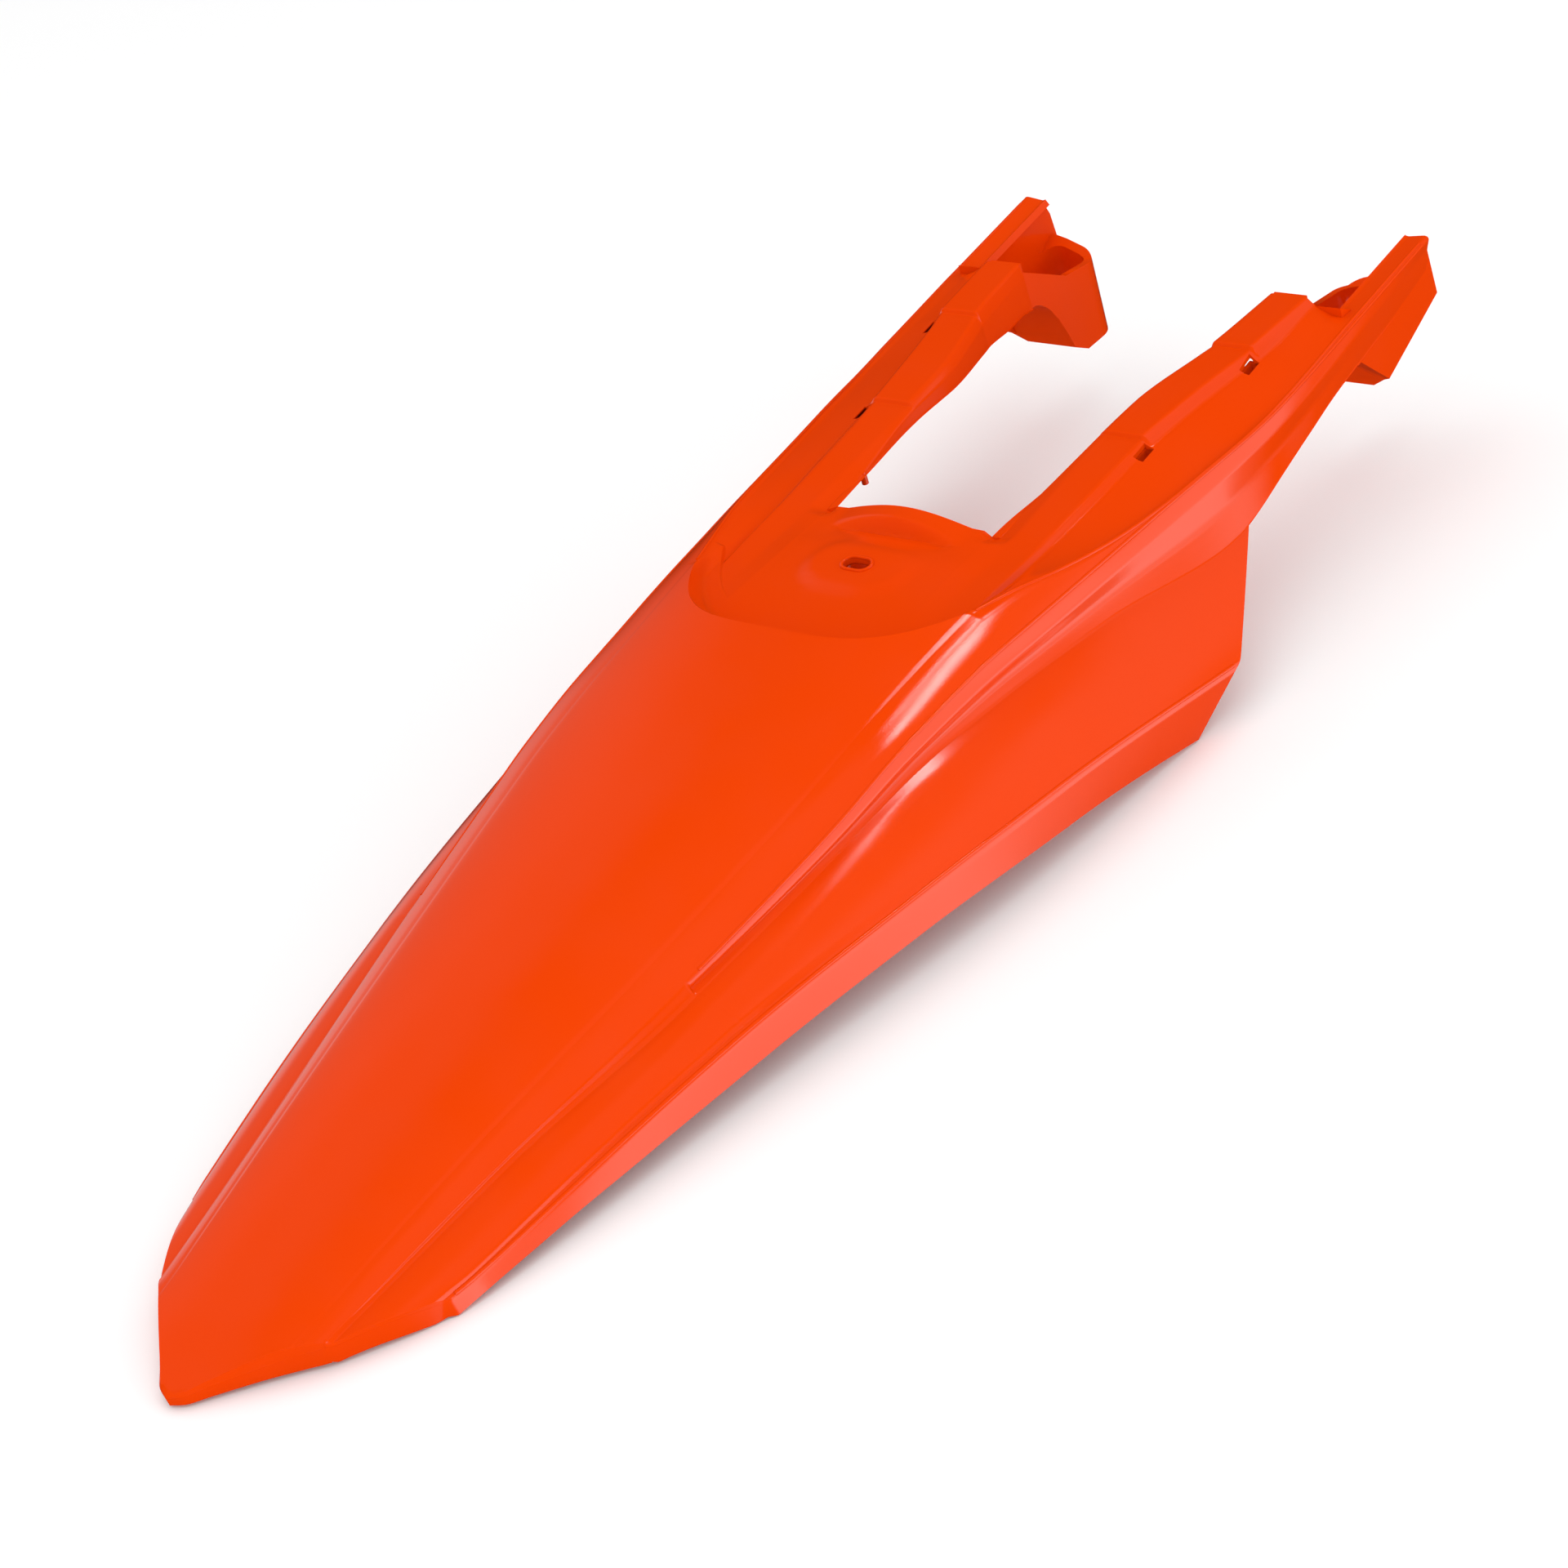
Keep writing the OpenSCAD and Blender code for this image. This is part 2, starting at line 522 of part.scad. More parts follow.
// Turns what stands on the seat deck upright for the fender at rest.
module upright_at_boss(z) {
    translate([0, boss_y, z])
        rotate([-rest_pitch, 0, 0])
            children();
}

// Clip windows in the slope beside each ledge, one behind each step.
window_l = 9;
window_w = 4;
module clip_windows() {
    for (side = [-1, 1], y = [rear_step_y - 6, front_step_y - 7])
        translate([side * (curve(ledge_x, y) + 3.6), y, curve(ledge_z, y) - ledge_drop - 6])
            translate([-window_w / 2, -window_l / 2, 0])
                cube([window_w, window_l, 12]);
}

// The moulding in its own frame, level along the arms.
module moulding() {
    difference() {
        union() {
            skin();
            upright_at_boss(deck_z)
                translate([0, 0, -wall - 4])
                    slot(boss_l, boss_w, wall + 4 + boss_rise);
            for (side = [0, 1])
                mirror([side, 0, 0])
                    socket();
        }
        upright_at_boss(deck_z)
            translate([0, 0, -20])
                slot(slot_l, slot_w, 40);
        clip_windows();
    }
}

// Place along the bike, once pitched, of a point of the moulding frame.
function rest_y(y, z) = y * cos(rest_pitch) - (z - rest_z) * sin(rest_pitch);
middle_y = (rest_y(0, tail_tip_z) + rest_y(cheek_toe[0], cheek_toe[1])) / 2;

module fender() {
    color(orange)
        translate([0, -middle_y, 0])
            rotate([rest_pitch, 0, 0])
                translate([0, 0, -rest_z])
                    moulding();
}

fender();
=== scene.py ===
"""Rear fender for an off-road motorcycle: the finished moulding, its floor, light and camera."""

import bmesh
import bpy
import numpy as np
from mathutils import Matrix, Vector


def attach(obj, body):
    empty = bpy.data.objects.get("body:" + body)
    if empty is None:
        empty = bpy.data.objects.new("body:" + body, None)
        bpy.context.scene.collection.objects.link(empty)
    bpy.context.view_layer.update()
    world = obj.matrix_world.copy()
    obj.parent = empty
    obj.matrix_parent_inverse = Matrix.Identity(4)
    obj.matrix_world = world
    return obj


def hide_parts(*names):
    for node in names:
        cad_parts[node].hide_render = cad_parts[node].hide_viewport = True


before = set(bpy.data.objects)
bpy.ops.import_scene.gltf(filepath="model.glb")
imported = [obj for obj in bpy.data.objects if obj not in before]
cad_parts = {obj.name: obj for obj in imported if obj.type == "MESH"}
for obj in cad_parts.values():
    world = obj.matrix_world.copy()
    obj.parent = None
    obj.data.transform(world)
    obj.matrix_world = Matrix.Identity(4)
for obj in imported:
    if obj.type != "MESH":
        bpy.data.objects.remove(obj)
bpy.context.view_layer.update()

# ---------------------------------------------------------------- sizes, in millimetres
# The moulding is laid out level along its arms: x across, y forwards from the tail tip, z up.
WALL = 2.6
TAIL_FLANGE = 6.5
WING_FLANGE = 15.0
TAIL_BEND_Y = 37.0
NOTCH_Y = 208.0
SEAT_Y = 361.0
LIP_Y = 453.0
WING_Y = 531.0
REAR_STEP_Y = 525.0
FRONT_STEP_Y = 594.0
LEDGE_END_Y = 635.0
ARM_END_Y = 700.0
BOSS_Y = 417.0
DECK_Z = 20.5
LIP_Z = 22.5
LEDGE_DROP = 4.0
STEP_RISE = 1.5
STRIP_DROP = 1.6
ARM_TOP = 10.0
SEAT_SWEEP = 37.0
SEAT_TURN_X = 63.5
SEAT_SLOPE, SEAT_SLOPE_POWER = 9.0, 1.8
RISER_Y = SEAT_Y + 18.5
TAIL_TIP_Z = 0.6
# Half the width at the shoulder of the tail, and the station where its ridges begin.
SHOULDER_X = 58.5
RIDGE_START_Y = 40
# How square the dome is across at the tail, and the stations between which that eases by one.
TAIL_FULLNESS = 3.8
FULLNESS_FROM, FULLNESS_TO = 90, 210
# Power of the bow of the seat edge over its place across.
SEAT_SWEEP_POWER = 3.6
# From here on the side's key lines lag behind the middle ones.
LAG_FROM_Y = 330
# Deck: dip before the lip, width of the lip's crown, bow of the lip, and the groove behind it.
DECK_DIP = 2.5
DECK_HALF_W = 46
LIP_HALF_W = 29
LIP_BOW = 0.0022
GROOVE_BEHIND_LIP = 11.8
GROOVE_DEPTH, GROOVE_W = 1.1, 1.4
# Soft boss round the slot.
BOSS_FLAT_X, BOSS_R, BOSS_RISE = 8, 15, 1.0
# Under the dome ridge: a small step, a facet that grows from it, and the band past the notch.
RIDGE_STEP_X, RIDGE_STEP_Z = 0.4, 0.3
FACET_X, FACET_Z = 1.9, 3
BAND_HOLLOW = 1.8
# How far the wing panel swells between its key lines.
PANEL_BULGE = 1.6
# Where the moulding stands: pitched nose up, over the middle of its box.
PITCH = np.radians(7.12531)
LIFT = 3.88984
MIDDLE_Y = 351.181


class Line:
    """A smooth line through (station, value) pairs that never overshoots them."""

    def __init__(self, *pairs):
        self.s = np.array([p[0] for p in pairs], float)
        self.v = np.array([p[1] for p in pairs], float)
        self.h = np.diff(self.s)
        d = np.diff(self.v) / self.h
        self.m = np.empty(len(self.s))
        self.m[0] = d[0]
        self.m[-1] = d[-1]
        for k in range(1, len(self.m) - 1):
            a, b = d[k - 1], d[k]
            self.m[k] = 0 if a * b <= 0 else 2 * a * b / (a + b)

    def __call__(self, s):
        s = np.asarray(s, float)
        k = np.clip(np.searchsorted(self.s, s, side="right") - 1, 0, len(self.h) - 1)
        h = self.h[k]
        u = (s - self.s[k]) / h
        inside = ((2 * u**3 - 3 * u**2 + 1) * self.v[k] + (u**3 - 2 * u**2 + u) * h * self.m[k]
                  + (3 * u**2 - 2 * u**3) * self.v[k + 1] + (u**3 - u**2) * h * self.m[k + 1])
        before = self.v[0] + (s - self.s[0]) * self.m[0]
        after = self.v[-1] + (s - self.s[-1]) * self.m[-1]
        return np.where(s <= self.s[0], before, np.where(s >= self.s[-1], after, inside))


def ramp(a, b, s):
    u = np.clip((np.asarray(s, float) - a) / (b - a), 0, 1)
    return u * u * (3 - 2 * u)


# ---------------------------------------------------------------- key lines of the skin
# Each gives a width or a height at a station along the bike.
crease_x = Line((72, 58.5), (84, 61.7), (208, 84), (287, 98.4), (366, 111.5), (472, 122))
crease_z = Line((0, 0), (20, 0.3), (37, 0.2), (55, -3.5), (72, -6), (155, -4.6), (208, -5.6),
                (287, -11.5), (366, -20.5), (472, -44))
ridge_x = Line((40, 37.5), (110, 47.5), (208, 62.3), (259, 69), (294, 73), (331, 75.1), (372, 77.6),
               (412, 81.5), (454, 85.8), (499, 90), (545, 94.6), (580, 96.9), (700, 99.2))
ridge_z = Line((40, 1.4), (70, 2.8), (110, 5), (208, 9.9), (259, 12.6), (294, 15), (331, 17),
               (372, 16.7), (432, 13), (476, 9.5), (522, 5.9), (570, 2.2), (640, 1), (700, 0))
crown_z = Line((0, 0.8), (37, 6.4), (72, 11), (140, 18), (208, 24), (280, 29.5), (361, 33.5),
               (430, 36))
shoulder_dx = Line((208, 0.5), (320, 1.6), (430, 2.7), (529, 2.6), (600, 1.5), (700, -1.6))
shoulder_dz = Line((208, 2.6), (320, 5), (430, 6), (529, 6), (700, 5))
panel_x = Line((208, 65.6), (259, 71.2), (323, 76), (378, 82), (444, 90.3), (529, 101.5),
               (591, 98.3), (622, 96.6), (700, 95.5))
panel_z = Line((208, 5.7), (259, 6), (323, 6.2), (378, 2.2), (444, -7), (529, -22.5),
               (562, -20.8), (587, -19.9), (612, -19), (700, -18))
flange_depth = Line((0, TAIL_FLANGE - 2.6), (20, TAIL_FLANGE - 0.6), (37, TAIL_FLANGE + 1.4),
                    (55, TAIL_FLANGE + 1.6), (84, TAIL_FLANGE - 0.2), (115, TAIL_FLANGE + 0.9),
                    (155, TAIL_FLANGE + 4), (215, TAIL_FLANGE + 6.8), (290, TAIL_FLANGE + 7.8),
                    (366, WING_FLANGE + 3), (441, WING_FLANGE + 7))
edge_x = Line((398, 37.7), (453, 37.7), (480, 39.8), (517, 43), (548, 44.2), (586, 51.9),
              (594, 54), (635, 59.2))
rim_x = Line((398, 42.5), (453, 38.5), (480, 40.4), (517, 43.6), (548, 44.9), (586, 52.6),
             (594, 54.7), (635, 59.8))
fold_x = Line((398, 48.3), (457, 47.3), (490, 46.8), (517, 46.4), (548, 47.4), (586, 55),
              (594, 56.8), (635, 60.8))
ledge_x = Line((398, 57), (440, 60), (467, 61.2), (517, 63), (547, 66.2), (582, 71.7),
               (594, 74.2), (635, 77.3))
crest_x = Line((398, 63.5), (407, 66.4), (420, 70.3), (437, 76), (455, 81), (480, 86), (510, 90),
               (550, 94), (580, 95.8), (700, 98))
ledge_z = Line((398, 20.5), (440, 18.3), (457, 17.2), (525, 15.8), (594, 11.8), (635, 9))
edge_z = Line((398, 15.5), (457, 14), (485, 11.8), (525, 8.4), (554, 4), (594, -3.2), (615, -8),
              (625, -9), (635, -12.5))
rim_drop = Line((398, 4), (457, 2.4), (490, 1.4), (517, 0.6), (635, 0.5))
deck_side_z = Line((361, 20.2), (398, 19.5), (430, 17.4), (453, 15.6))
# The tail's outline over the width, and how much of it and of the seat edge's bow each place takes.
tail_outline = Line((0, 0), (5, 2.5), (10, 8), (31.5, 31.2), (37.5, 37), (46.5, 50),
                    (53.5, 61.5), (58.5, 72))
tail_share = Line((0, 1), (6, 0.95), (14, 0.88), (28, 0.78), (50, 0.62), (76, 0.44),
                  (106, 0.26), (140, 0.12), (174, 0.04), (207, 0), (230, 0))
seat_share = Line((150, 0), (209.5, 0), (248, 0.1), (288, 0.36), (326, 0.7), (361, 1),
                  (379.5, 1), (399, 0.9), (425, 0.64), (441, 0.32), (447, 0.22), (453, 0.11),
                  (473, 0), (500, 0))

# Running lines from the centre line outwards, with the rounding of each and the number of
# points on the way to the next one.
KEYS = [("centre", 0, 13), ("edge", 0.8, 2), ("rim", 0.9, 1), ("fold", 1.5, 5), ("top", 1.2, 2),
        ("foot", 1.2, 5), ("strip", 1.2, 1), ("crest", 1.7, 5), ("ridge", 1.2, 2),
        ("shoulder", 1.2, 1), ("band", 2.0, 1), ("panel", 0.8, 14), ("crease", 2.4, 1),
        ("lower", 0.8, 3), ("flange", 0, 0)]
NAMES = [k[0] for k in KEYS]
# Where the points of a rounding lie along it; the third one is its middle.
ROUNDING = (0, 0.25, 0.5, 0.75, 1)
ROUNDING_MIDDLE = 2
# How far each line at the side lies behind the middle of the same place.
SIDE_LAG = {"panel": 3, "crease": 57, "lower": 62, "flange": 88}
SEAT_STATION = SEAT_Y + SEAT_SWEEP


def arm_station(u):
    """The station along the arms and sides that belongs to a place u on the centre line."""
    return u + tail_share(u) * TAIL_BEND_Y + seat_share(u) * SEAT_SWEEP


def station_y(u, x, lag=0.0):
    """How far along the bike the point at x lies, for the place u on the centre line."""
    x = np.abs(x)
    return (u + tail_share(u) * tail_outline(np.minimum(x, SHOULDER_X))
            + seat_share(u) * SEAT_SWEEP * np.minimum(1, x / SEAT_TURN_X) ** SEAT_SWEEP_POWER
            - lag * np.clip((arm_station(u) - LAG_FROM_Y) / (WING_Y - LAG_FROM_Y), 0, 1))


def dome_z(x, y):
    """Height of the dome: from the ridge at each side up to the crown."""
    s = np.maximum(y, RIDGE_START_Y)
    z = ridge_z(s)
    fullness = TAIL_FULLNESS - ramp(FULLNESS_FROM, FULLNESS_TO, y)
    return z + (crown_z(y) - z) * (1 - np.minimum(1, np.abs(x) / ridge_x(s)) ** fullness)


def deck_z(x, y):
    """Height of the seat deck, with its groove, raised lip and the soft boss round the slot."""
    x = np.abs(x)
    dip = DECK_DIP * ramp(BOSS_Y + 8, LIP_Y - 12, y)
    arc = np.cos(np.radians(np.minimum(90, x * 90 / LIP_HALF_W)))
    bowed = y + LIP_BOW * x**2
    rise = ramp(LIP_Y - 11.5, LIP_Y - 6.5, bowed)
    groove = (np.exp(-((bowed - LIP_Y + GROOVE_BEHIND_LIP) / GROOVE_W) ** 2)
              * ramp(LIP_HALF_W, LIP_HALF_W - 5, x))
    side = deck_side_z(y)
    boss = np.hypot(np.maximum(0, x - BOSS_FLAT_X) / BOSS_R, (y - BOSS_Y) / BOSS_R)
    flat = DECK_Z - dip
    return (flat - (flat - side) * np.minimum(1, x / DECK_HALF_W) ** 2
            + (LIP_Z - DECK_Z + DECK_DIP) * rise * arc
            - GROOVE_DEPTH * groove + BOSS_RISE * ramp(1.08, 0.86, boss))


def section(u):
    """Points across the right half of the skin: an array [place, point, xyz] and their names."""
    b = arm_station(u)
    seat_b = np.maximum(b, SEAT_STATION)
    narrow = ridge_x(np.minimum(b, SEAT_STATION)) / ridge_x(SEAT_STATION)
    slope = 1 - (1 - np.clip((u - SEAT_Y) / SEAT_SLOPE, 0, 1)) ** SEAT_SLOPE_POWER
    on_ledge = ramp(RISER_Y - 1.3, RISER_Y + 0.3, u)
    steps = (ramp(REAR_STEP_Y - 1, REAR_STEP_Y + 0.6, u)
             + ramp(FRONT_STEP_Y - 1, FRONT_STEP_Y + 0.6, u))
    before_lip = ramp(LIP_Y - 9, LIP_Y, u)

    foot_dx = LEDGE_DROP * (0.4 + 0.5 * ramp(400, 500, seat_b))
    strip_dx = 1.5 + (ARM_TOP - 2.7) * ramp(540, 632, seat_b)
    x = {
        "centre": 0 * u, "edge": edge_x(seat_b), "rim": rim_x(seat_b), "fold": fold_x(seat_b),
        "top": ledge_x(seat_b), "foot": ledge_x(seat_b) + foot_dx,
        "strip": crest_x(seat_b) - strip_dx,
        "crest": crest_x(seat_b) + 0.5 * ramp(405, 440, seat_b) * (1 - ramp(580, 650, seat_b)),
        "ridge": ridge_x(seat_b),
    }
    x = {k: v * narrow for k, v in x.items()}
    y = {k: station_y(u, v) for k, v in x.items()}

    ledge = ledge_z(b) + STEP_RISE * (steps - 1)
    z = {}
    for name in ("centre", "edge", "rim", "fold", "top", "foot"):
        floor = deck_z(x[name], y[name])
        if name == "edge":
            low = floor + np.minimum(0, edge_z(b) - floor) * before_lip
            floor = np.where(u < LIP_Y - 0.01, low, edge_z(b))
        elif name == "rim":
            change = np.minimum(ledge - rim_drop(b), floor + 3) - floor
            change = np.where(change < 0, change * before_lip, change)
            floor = floor + change * on_ledge
        elif name in ("fold", "top"):
            share = 1 - 0.6 * (1 - ramp(425, 470, b)) if name == "fold" else 1
            floor = floor + (ledge - floor) * on_ledge * share
        elif name == "foot":
            sunk = ledge_z(b) - 1 - (LEDGE_DROP - 1) * ramp(398, 436, b) + 1.8 * ramp(600, 630, b)
            floor = floor + (sunk - floor) * on_ledge
        z[name] = floor
    z["strip"] = dome_z(crest_x(seat_b), y["strip"]) - STRIP_DROP
    z["crest"] = dome_z(x["crest"], y["crest"]) - 0.2
    # Towards the ends of the arms the strip is level with the lines beside it.
    share = (x["strip"] - x["foot"]) / (x["crest"] - x["foot"])
    level = z["foot"] + (z["crest"] - z["foot"]) * share - 0.4
    z["strip"] = z["strip"] + (np.maximum(level, z["strip"]) - z["strip"]) * (
        ramp(535, 590, b) * (1 - ramp(LEDGE_END_Y - 2, LEDGE_END_Y + 3, u)))
    z["ridge"] = dome_z(x["ridge"], y["ridge"])
    for name in z:
        plain = dome_z(x[name], y[name])
        part = 1.0 if name in ("crest", "ridge") else slope
        z[name] = np.where(u <= SEAT_Y, plain, plain + (z[name] - plain) * part)

    # Under the dome ridge: a growing facet up to the notch, then the recess over the wing.
    grow = ramp(112, NOTCH_Y - 2, b)
    past = ramp(NOTCH_Y - 0.6, NOTCH_Y + 1.4, b)
    rx, rz = ridge_x(b), ridge_z(b)
    facet_dx = RIDGE_STEP_X + FACET_X * grow
    facet_dz = RIDGE_STEP_Z + FACET_Z * grow
    x["shoulder"] = rx + facet_dx + (shoulder_dx(b) - facet_dx) * past
    z["shoulder"] = rz - facet_dz + (facet_dz - shoulder_dz(b)) * past
    px = x["shoulder"] + 1
    pz = z["shoulder"] - 0.9
    x["panel"] = px + (panel_x(b) - px) * past
    z["panel"] = pz + (panel_z(b) - pz) * past
    hollow = BAND_HOLLOW * past * (1 - ramp(560, 640, b))
    x["band"] = (x["shoulder"] + x["panel"]) / 2 - hollow
    z["band"] = (z["shoulder"] + z["panel"]) / 2
    y["shoulder"] = station_y(u, x["shoulder"])
    y["band"] = station_y(u, x["band"])
    y["panel"] = station_y(u, x["panel"], SIDE_LAG["panel"])

    for name in ("crease", "lower", "flange"):
        yy = station_y(u, SEAT_TURN_X + 0 * u, SIDE_LAG[name])
        second = ramp(200, 330, yy)
        out = {"crease": 0, "lower": 0.4, "flange": 1.5 - 3 * ramp(300, 441, yy)}[name]
        down = {"crease": 0, "lower": 0.9 + 1.5 * second, "flange": flange_depth(yy)}[name]
        x[name] = crease_x(yy) + out
        y[name] = yy
        z[name] = crease_z(yy) - down

    keys = {n: np.stack([x[n], y[n], z[n]], -1) for n in NAMES}

    def cut(name, toward, radius):
        """Where the rounding of a key line ends on its way towards the next one."""
        way = keys[toward] - keys[name]
        far = np.linalg.norm(way, axis=-1, keepdims=True)
        return keys[name] + way * np.minimum(radius / np.maximum(far, 1e-6), 0.42)

    rows, starts, ends = [], {}, {}
    for k, (name, radius, _) in enumerate(KEYS):
        ends[name] = cut(name, NAMES[k - 1], radius) if radius else keys[name]
        starts[name] = cut(name, NAMES[k + 1], radius) if radius else keys[name]
    for k, (name, radius, steps_on) in enumerate(KEYS):
        if radius:
            a, m, c = ends[name], keys[name], starts[name]
            for t in ROUNDING:
                rows.append((a * (1 - t) ** 2 + 2 * m * t * (1 - t) + c * t * t, name))
        else:
            rows.append((keys[name], name))
        if k + 1 < len(KEYS):
            a, c = starts[name], ends[NAMES[k + 1]]
            for n in range(1, steps_on + 1):
                t = n / (steps_on + 1)
                rows.append((a + (c - a) * t, name + "+"))

    # The dome, the deck and the skirt are curved between their key lines.
    out = []
    for p, name in rows:
        p = p.copy()
        key = name.rstrip("+")
        where = NAMES.index(key)
        if where < NAMES.index("crest") or name == "crest+":
            p[:, 1] = station_y(u, p[:, 0])
            curved = dome_z(p[:, 0], p[:, 1])
            if key == "centre":
                deck = deck_z(p[:, 0], p[:, 1])
                deck = np.where(u < LIP_Y + 0.01, deck, p[:, 2])
                p[:, 2] = curved + (deck - curved) * slope
            elif name == "crest+":
                p[:, 2] = curved
            else:
                p[:, 2] = np.where(u <= SEAT_Y, curved, p[:, 2])
        if name == "panel+":
            span = keys["crease"] - keys["panel"]
            t = np.sum((p - keys["panel"]) * span, -1) / np.sum(span * span, -1)
            bulge = PANEL_BULGE * np.sin(np.pi * t) * (1 - 0.6 * ramp(300, 460, u))
            p[:, 0] += bulge / 2
            p[:, 2] += bulge
        out.append(p)
    labels = [name for _, name in rows]
    return np.stack(out, 1), labels


def spread(a, b, step):
    """Even steps from a up to, but not with, b."""
    return list(np.linspace(a, b, max(1, int(round((b - a) / step))), endpoint=False))


# Places on the centre line, closer together where the form turns quickly.
places = ([1.2, 2.4] + spread(4, 200, 4.2) + spread(200, 206, 2) + spread(206, 210.5, 0.5)
          + spread(210.5, 356, 4.4) + [356, 358, 359.4, 360.3, 361, 361.5, 362.1, 362.9, 364, 365.5,
                                       367.2, 369, 371, 373.5, 376, 377.4]
          + spread(378, 380.6, 0.4) + spread(381, 440, 3.6) + spread(440, 453, 1.0)
          + spread(453, 523, 5) + spread(523.4, 526.4, 0.4) + [527.5, 531]
          + spread(536, 592, 5) + spread(592.4, 595.4, 0.4) + spread(597, LEDGE_END_Y, 5)
          + spread(LEDGE_END_Y, 700, 6) + [700])
places = np.array(places)
half, labels = section(places)
crease_at = labels.index("crease")

# The edge flange hangs from the tail outline as a few more rows before the first one. Its bottom
# leans in at the shoulders and at the side.
tip = section(np.array([0.0]))[0][0]
inner_part = np.arange(len(labels)) < labels.index("shoulder")
tip[inner_part, 2] = crease_z(tip[inner_part, 1]) + TAIL_TIP_Z
near_corner = ramp(40, SHOULDER_X, tip[:, 0])
bottom = tip + np.stack([-0.5 * near_corner, 0.1 - 2.6 * near_corner,
                         -flange_depth(tip[:, 1])], -1)
across = np.linspace(0, 1, len(labels) - crease_at)[:, None]
corner = tip[crease_at] + np.array([-0.5, -2.5, -TAIL_FLANGE])
bottom[crease_at:] = corner + across * np.array([1, 2, 0])
first = [tip + (bottom - tip) * share for share in (1.0, 0.72, 0.45, 0.24)]
for t in (0.3, 0.62):
    first.append(first[3] * (1 - t) ** 2 + 2 * tip * t * (1 - t) + half[0] * t * t)
grid = np.concatenate([np.stack(first), half])
count_first = len(first)


def mirrored(a):
    """The right half with its mirror image before it, along one row from left to right."""
    left = a[:, :0:-1].copy()
    left[..., 0] *= -1
    return np.concatenate([left, a], 1)


full = mirrored(grid)
names = labels[:0:-1] + labels
row_place = np.concatenate([np.full(count_first, -1.0), places])
n_rows, n_cols = full.shape[:2]
edge_from = labels.index("edge")
strip_from = labels.index("strip")
panel_to = labels.index("panel") + ROUNDING_MIDDLE + 1
middle = len(labels) - 1
column = np.abs(np.arange(n_cols) - middle)

# Which cells of the grid hold skin: all up to the lip, then the arms and wings, then the strips.
covered = np.zeros((n_rows - 1, n_cols - 1), bool)
for r in range(n_rows - 1):
    u = (row_place[r] + row_place[r + 1]) / 2
    for c in range(n_cols - 1):
        j = min(column[c], column[c + 1])
        covered[r, c] = (u < LIP_Y or (u < WING_Y and j >= edge_from)
                         or (u < LEDGE_END_Y and edge_from <= j < panel_to)
                         or (u > LEDGE_END_Y and strip_from <= j < panel_to))

# Inner face of the skin, one wall in, along smoothed normals. Along the arms each line moves in its
# own direction.
ARM_INSET = {"edge": (1, 0, 0.1), "rim": (1, 0, -1), "fold": (1, 0, -1), "top": (0.3, 0, -1),
             "foot": (-0.1, 0, -1), "strip": (-0.6, 0, -1), "crest": (-1, 0, -1),
             "ridge": (-1, 0, -1), "shoulder": (-1, 0, -0.5), "band": (-1, 0, -0.4),
             "panel": (-0.9, 0, -0.5)}
du = np.gradient(full, axis=0)
dv = np.gradient(full, axis=1)
normal = np.cross(dv, du)
normal /= np.maximum(np.linalg.norm(normal, axis=-1, keepdims=True), 1e-9)
inward = -normal
SMOOTHING_ROUNDS = 6
for _ in range(SMOOTHING_ROUNDS):
    padded = np.pad(inward, ((1, 1), (1, 1), (0, 0)), mode="edge")
    inward = (padded[:-2, 1:-1] + padded[2:, 1:-1] + padded[1:-1, :-2] + padded[1:-1, 2:]
              + 2 * inward) / 6
inward /= np.maximum(np.linalg.norm(inward, axis=-1, keepdims=True), 1e-9)
inward_skin = inward.copy()
arms = row_place >= LIP_Y
for c in range(n_cols):
    key = names[c].rstrip("+")
    if key in ARM_INSET:
        way = np.array(ARM_INSET[key], float)
        if names[c].endswith("+"):
            after = NAMES[min(NAMES.index(key) + 1, len(NAMES) - 1)]
            way = (way + np.array(ARM_INSET.get(after, ARM_INSET[key]), float)) / 2
        way[0] *= -1 if c < middle else 1
        inward[arms, c] = way
inner = full + WALL * inward


def place_in_frame(p):
    """From the moulding's own frame in millimetres to the finished part's frame in metres."""
    x, y, z = p[..., 0], p[..., 1], p[..., 2] + LIFT
    return np.stack([x, y * np.cos(PITCH) - z * np.sin(PITCH) - MIDDLE_Y,
                     y * np.sin(PITCH) + z * np.cos(PITCH)], -1) / 1000


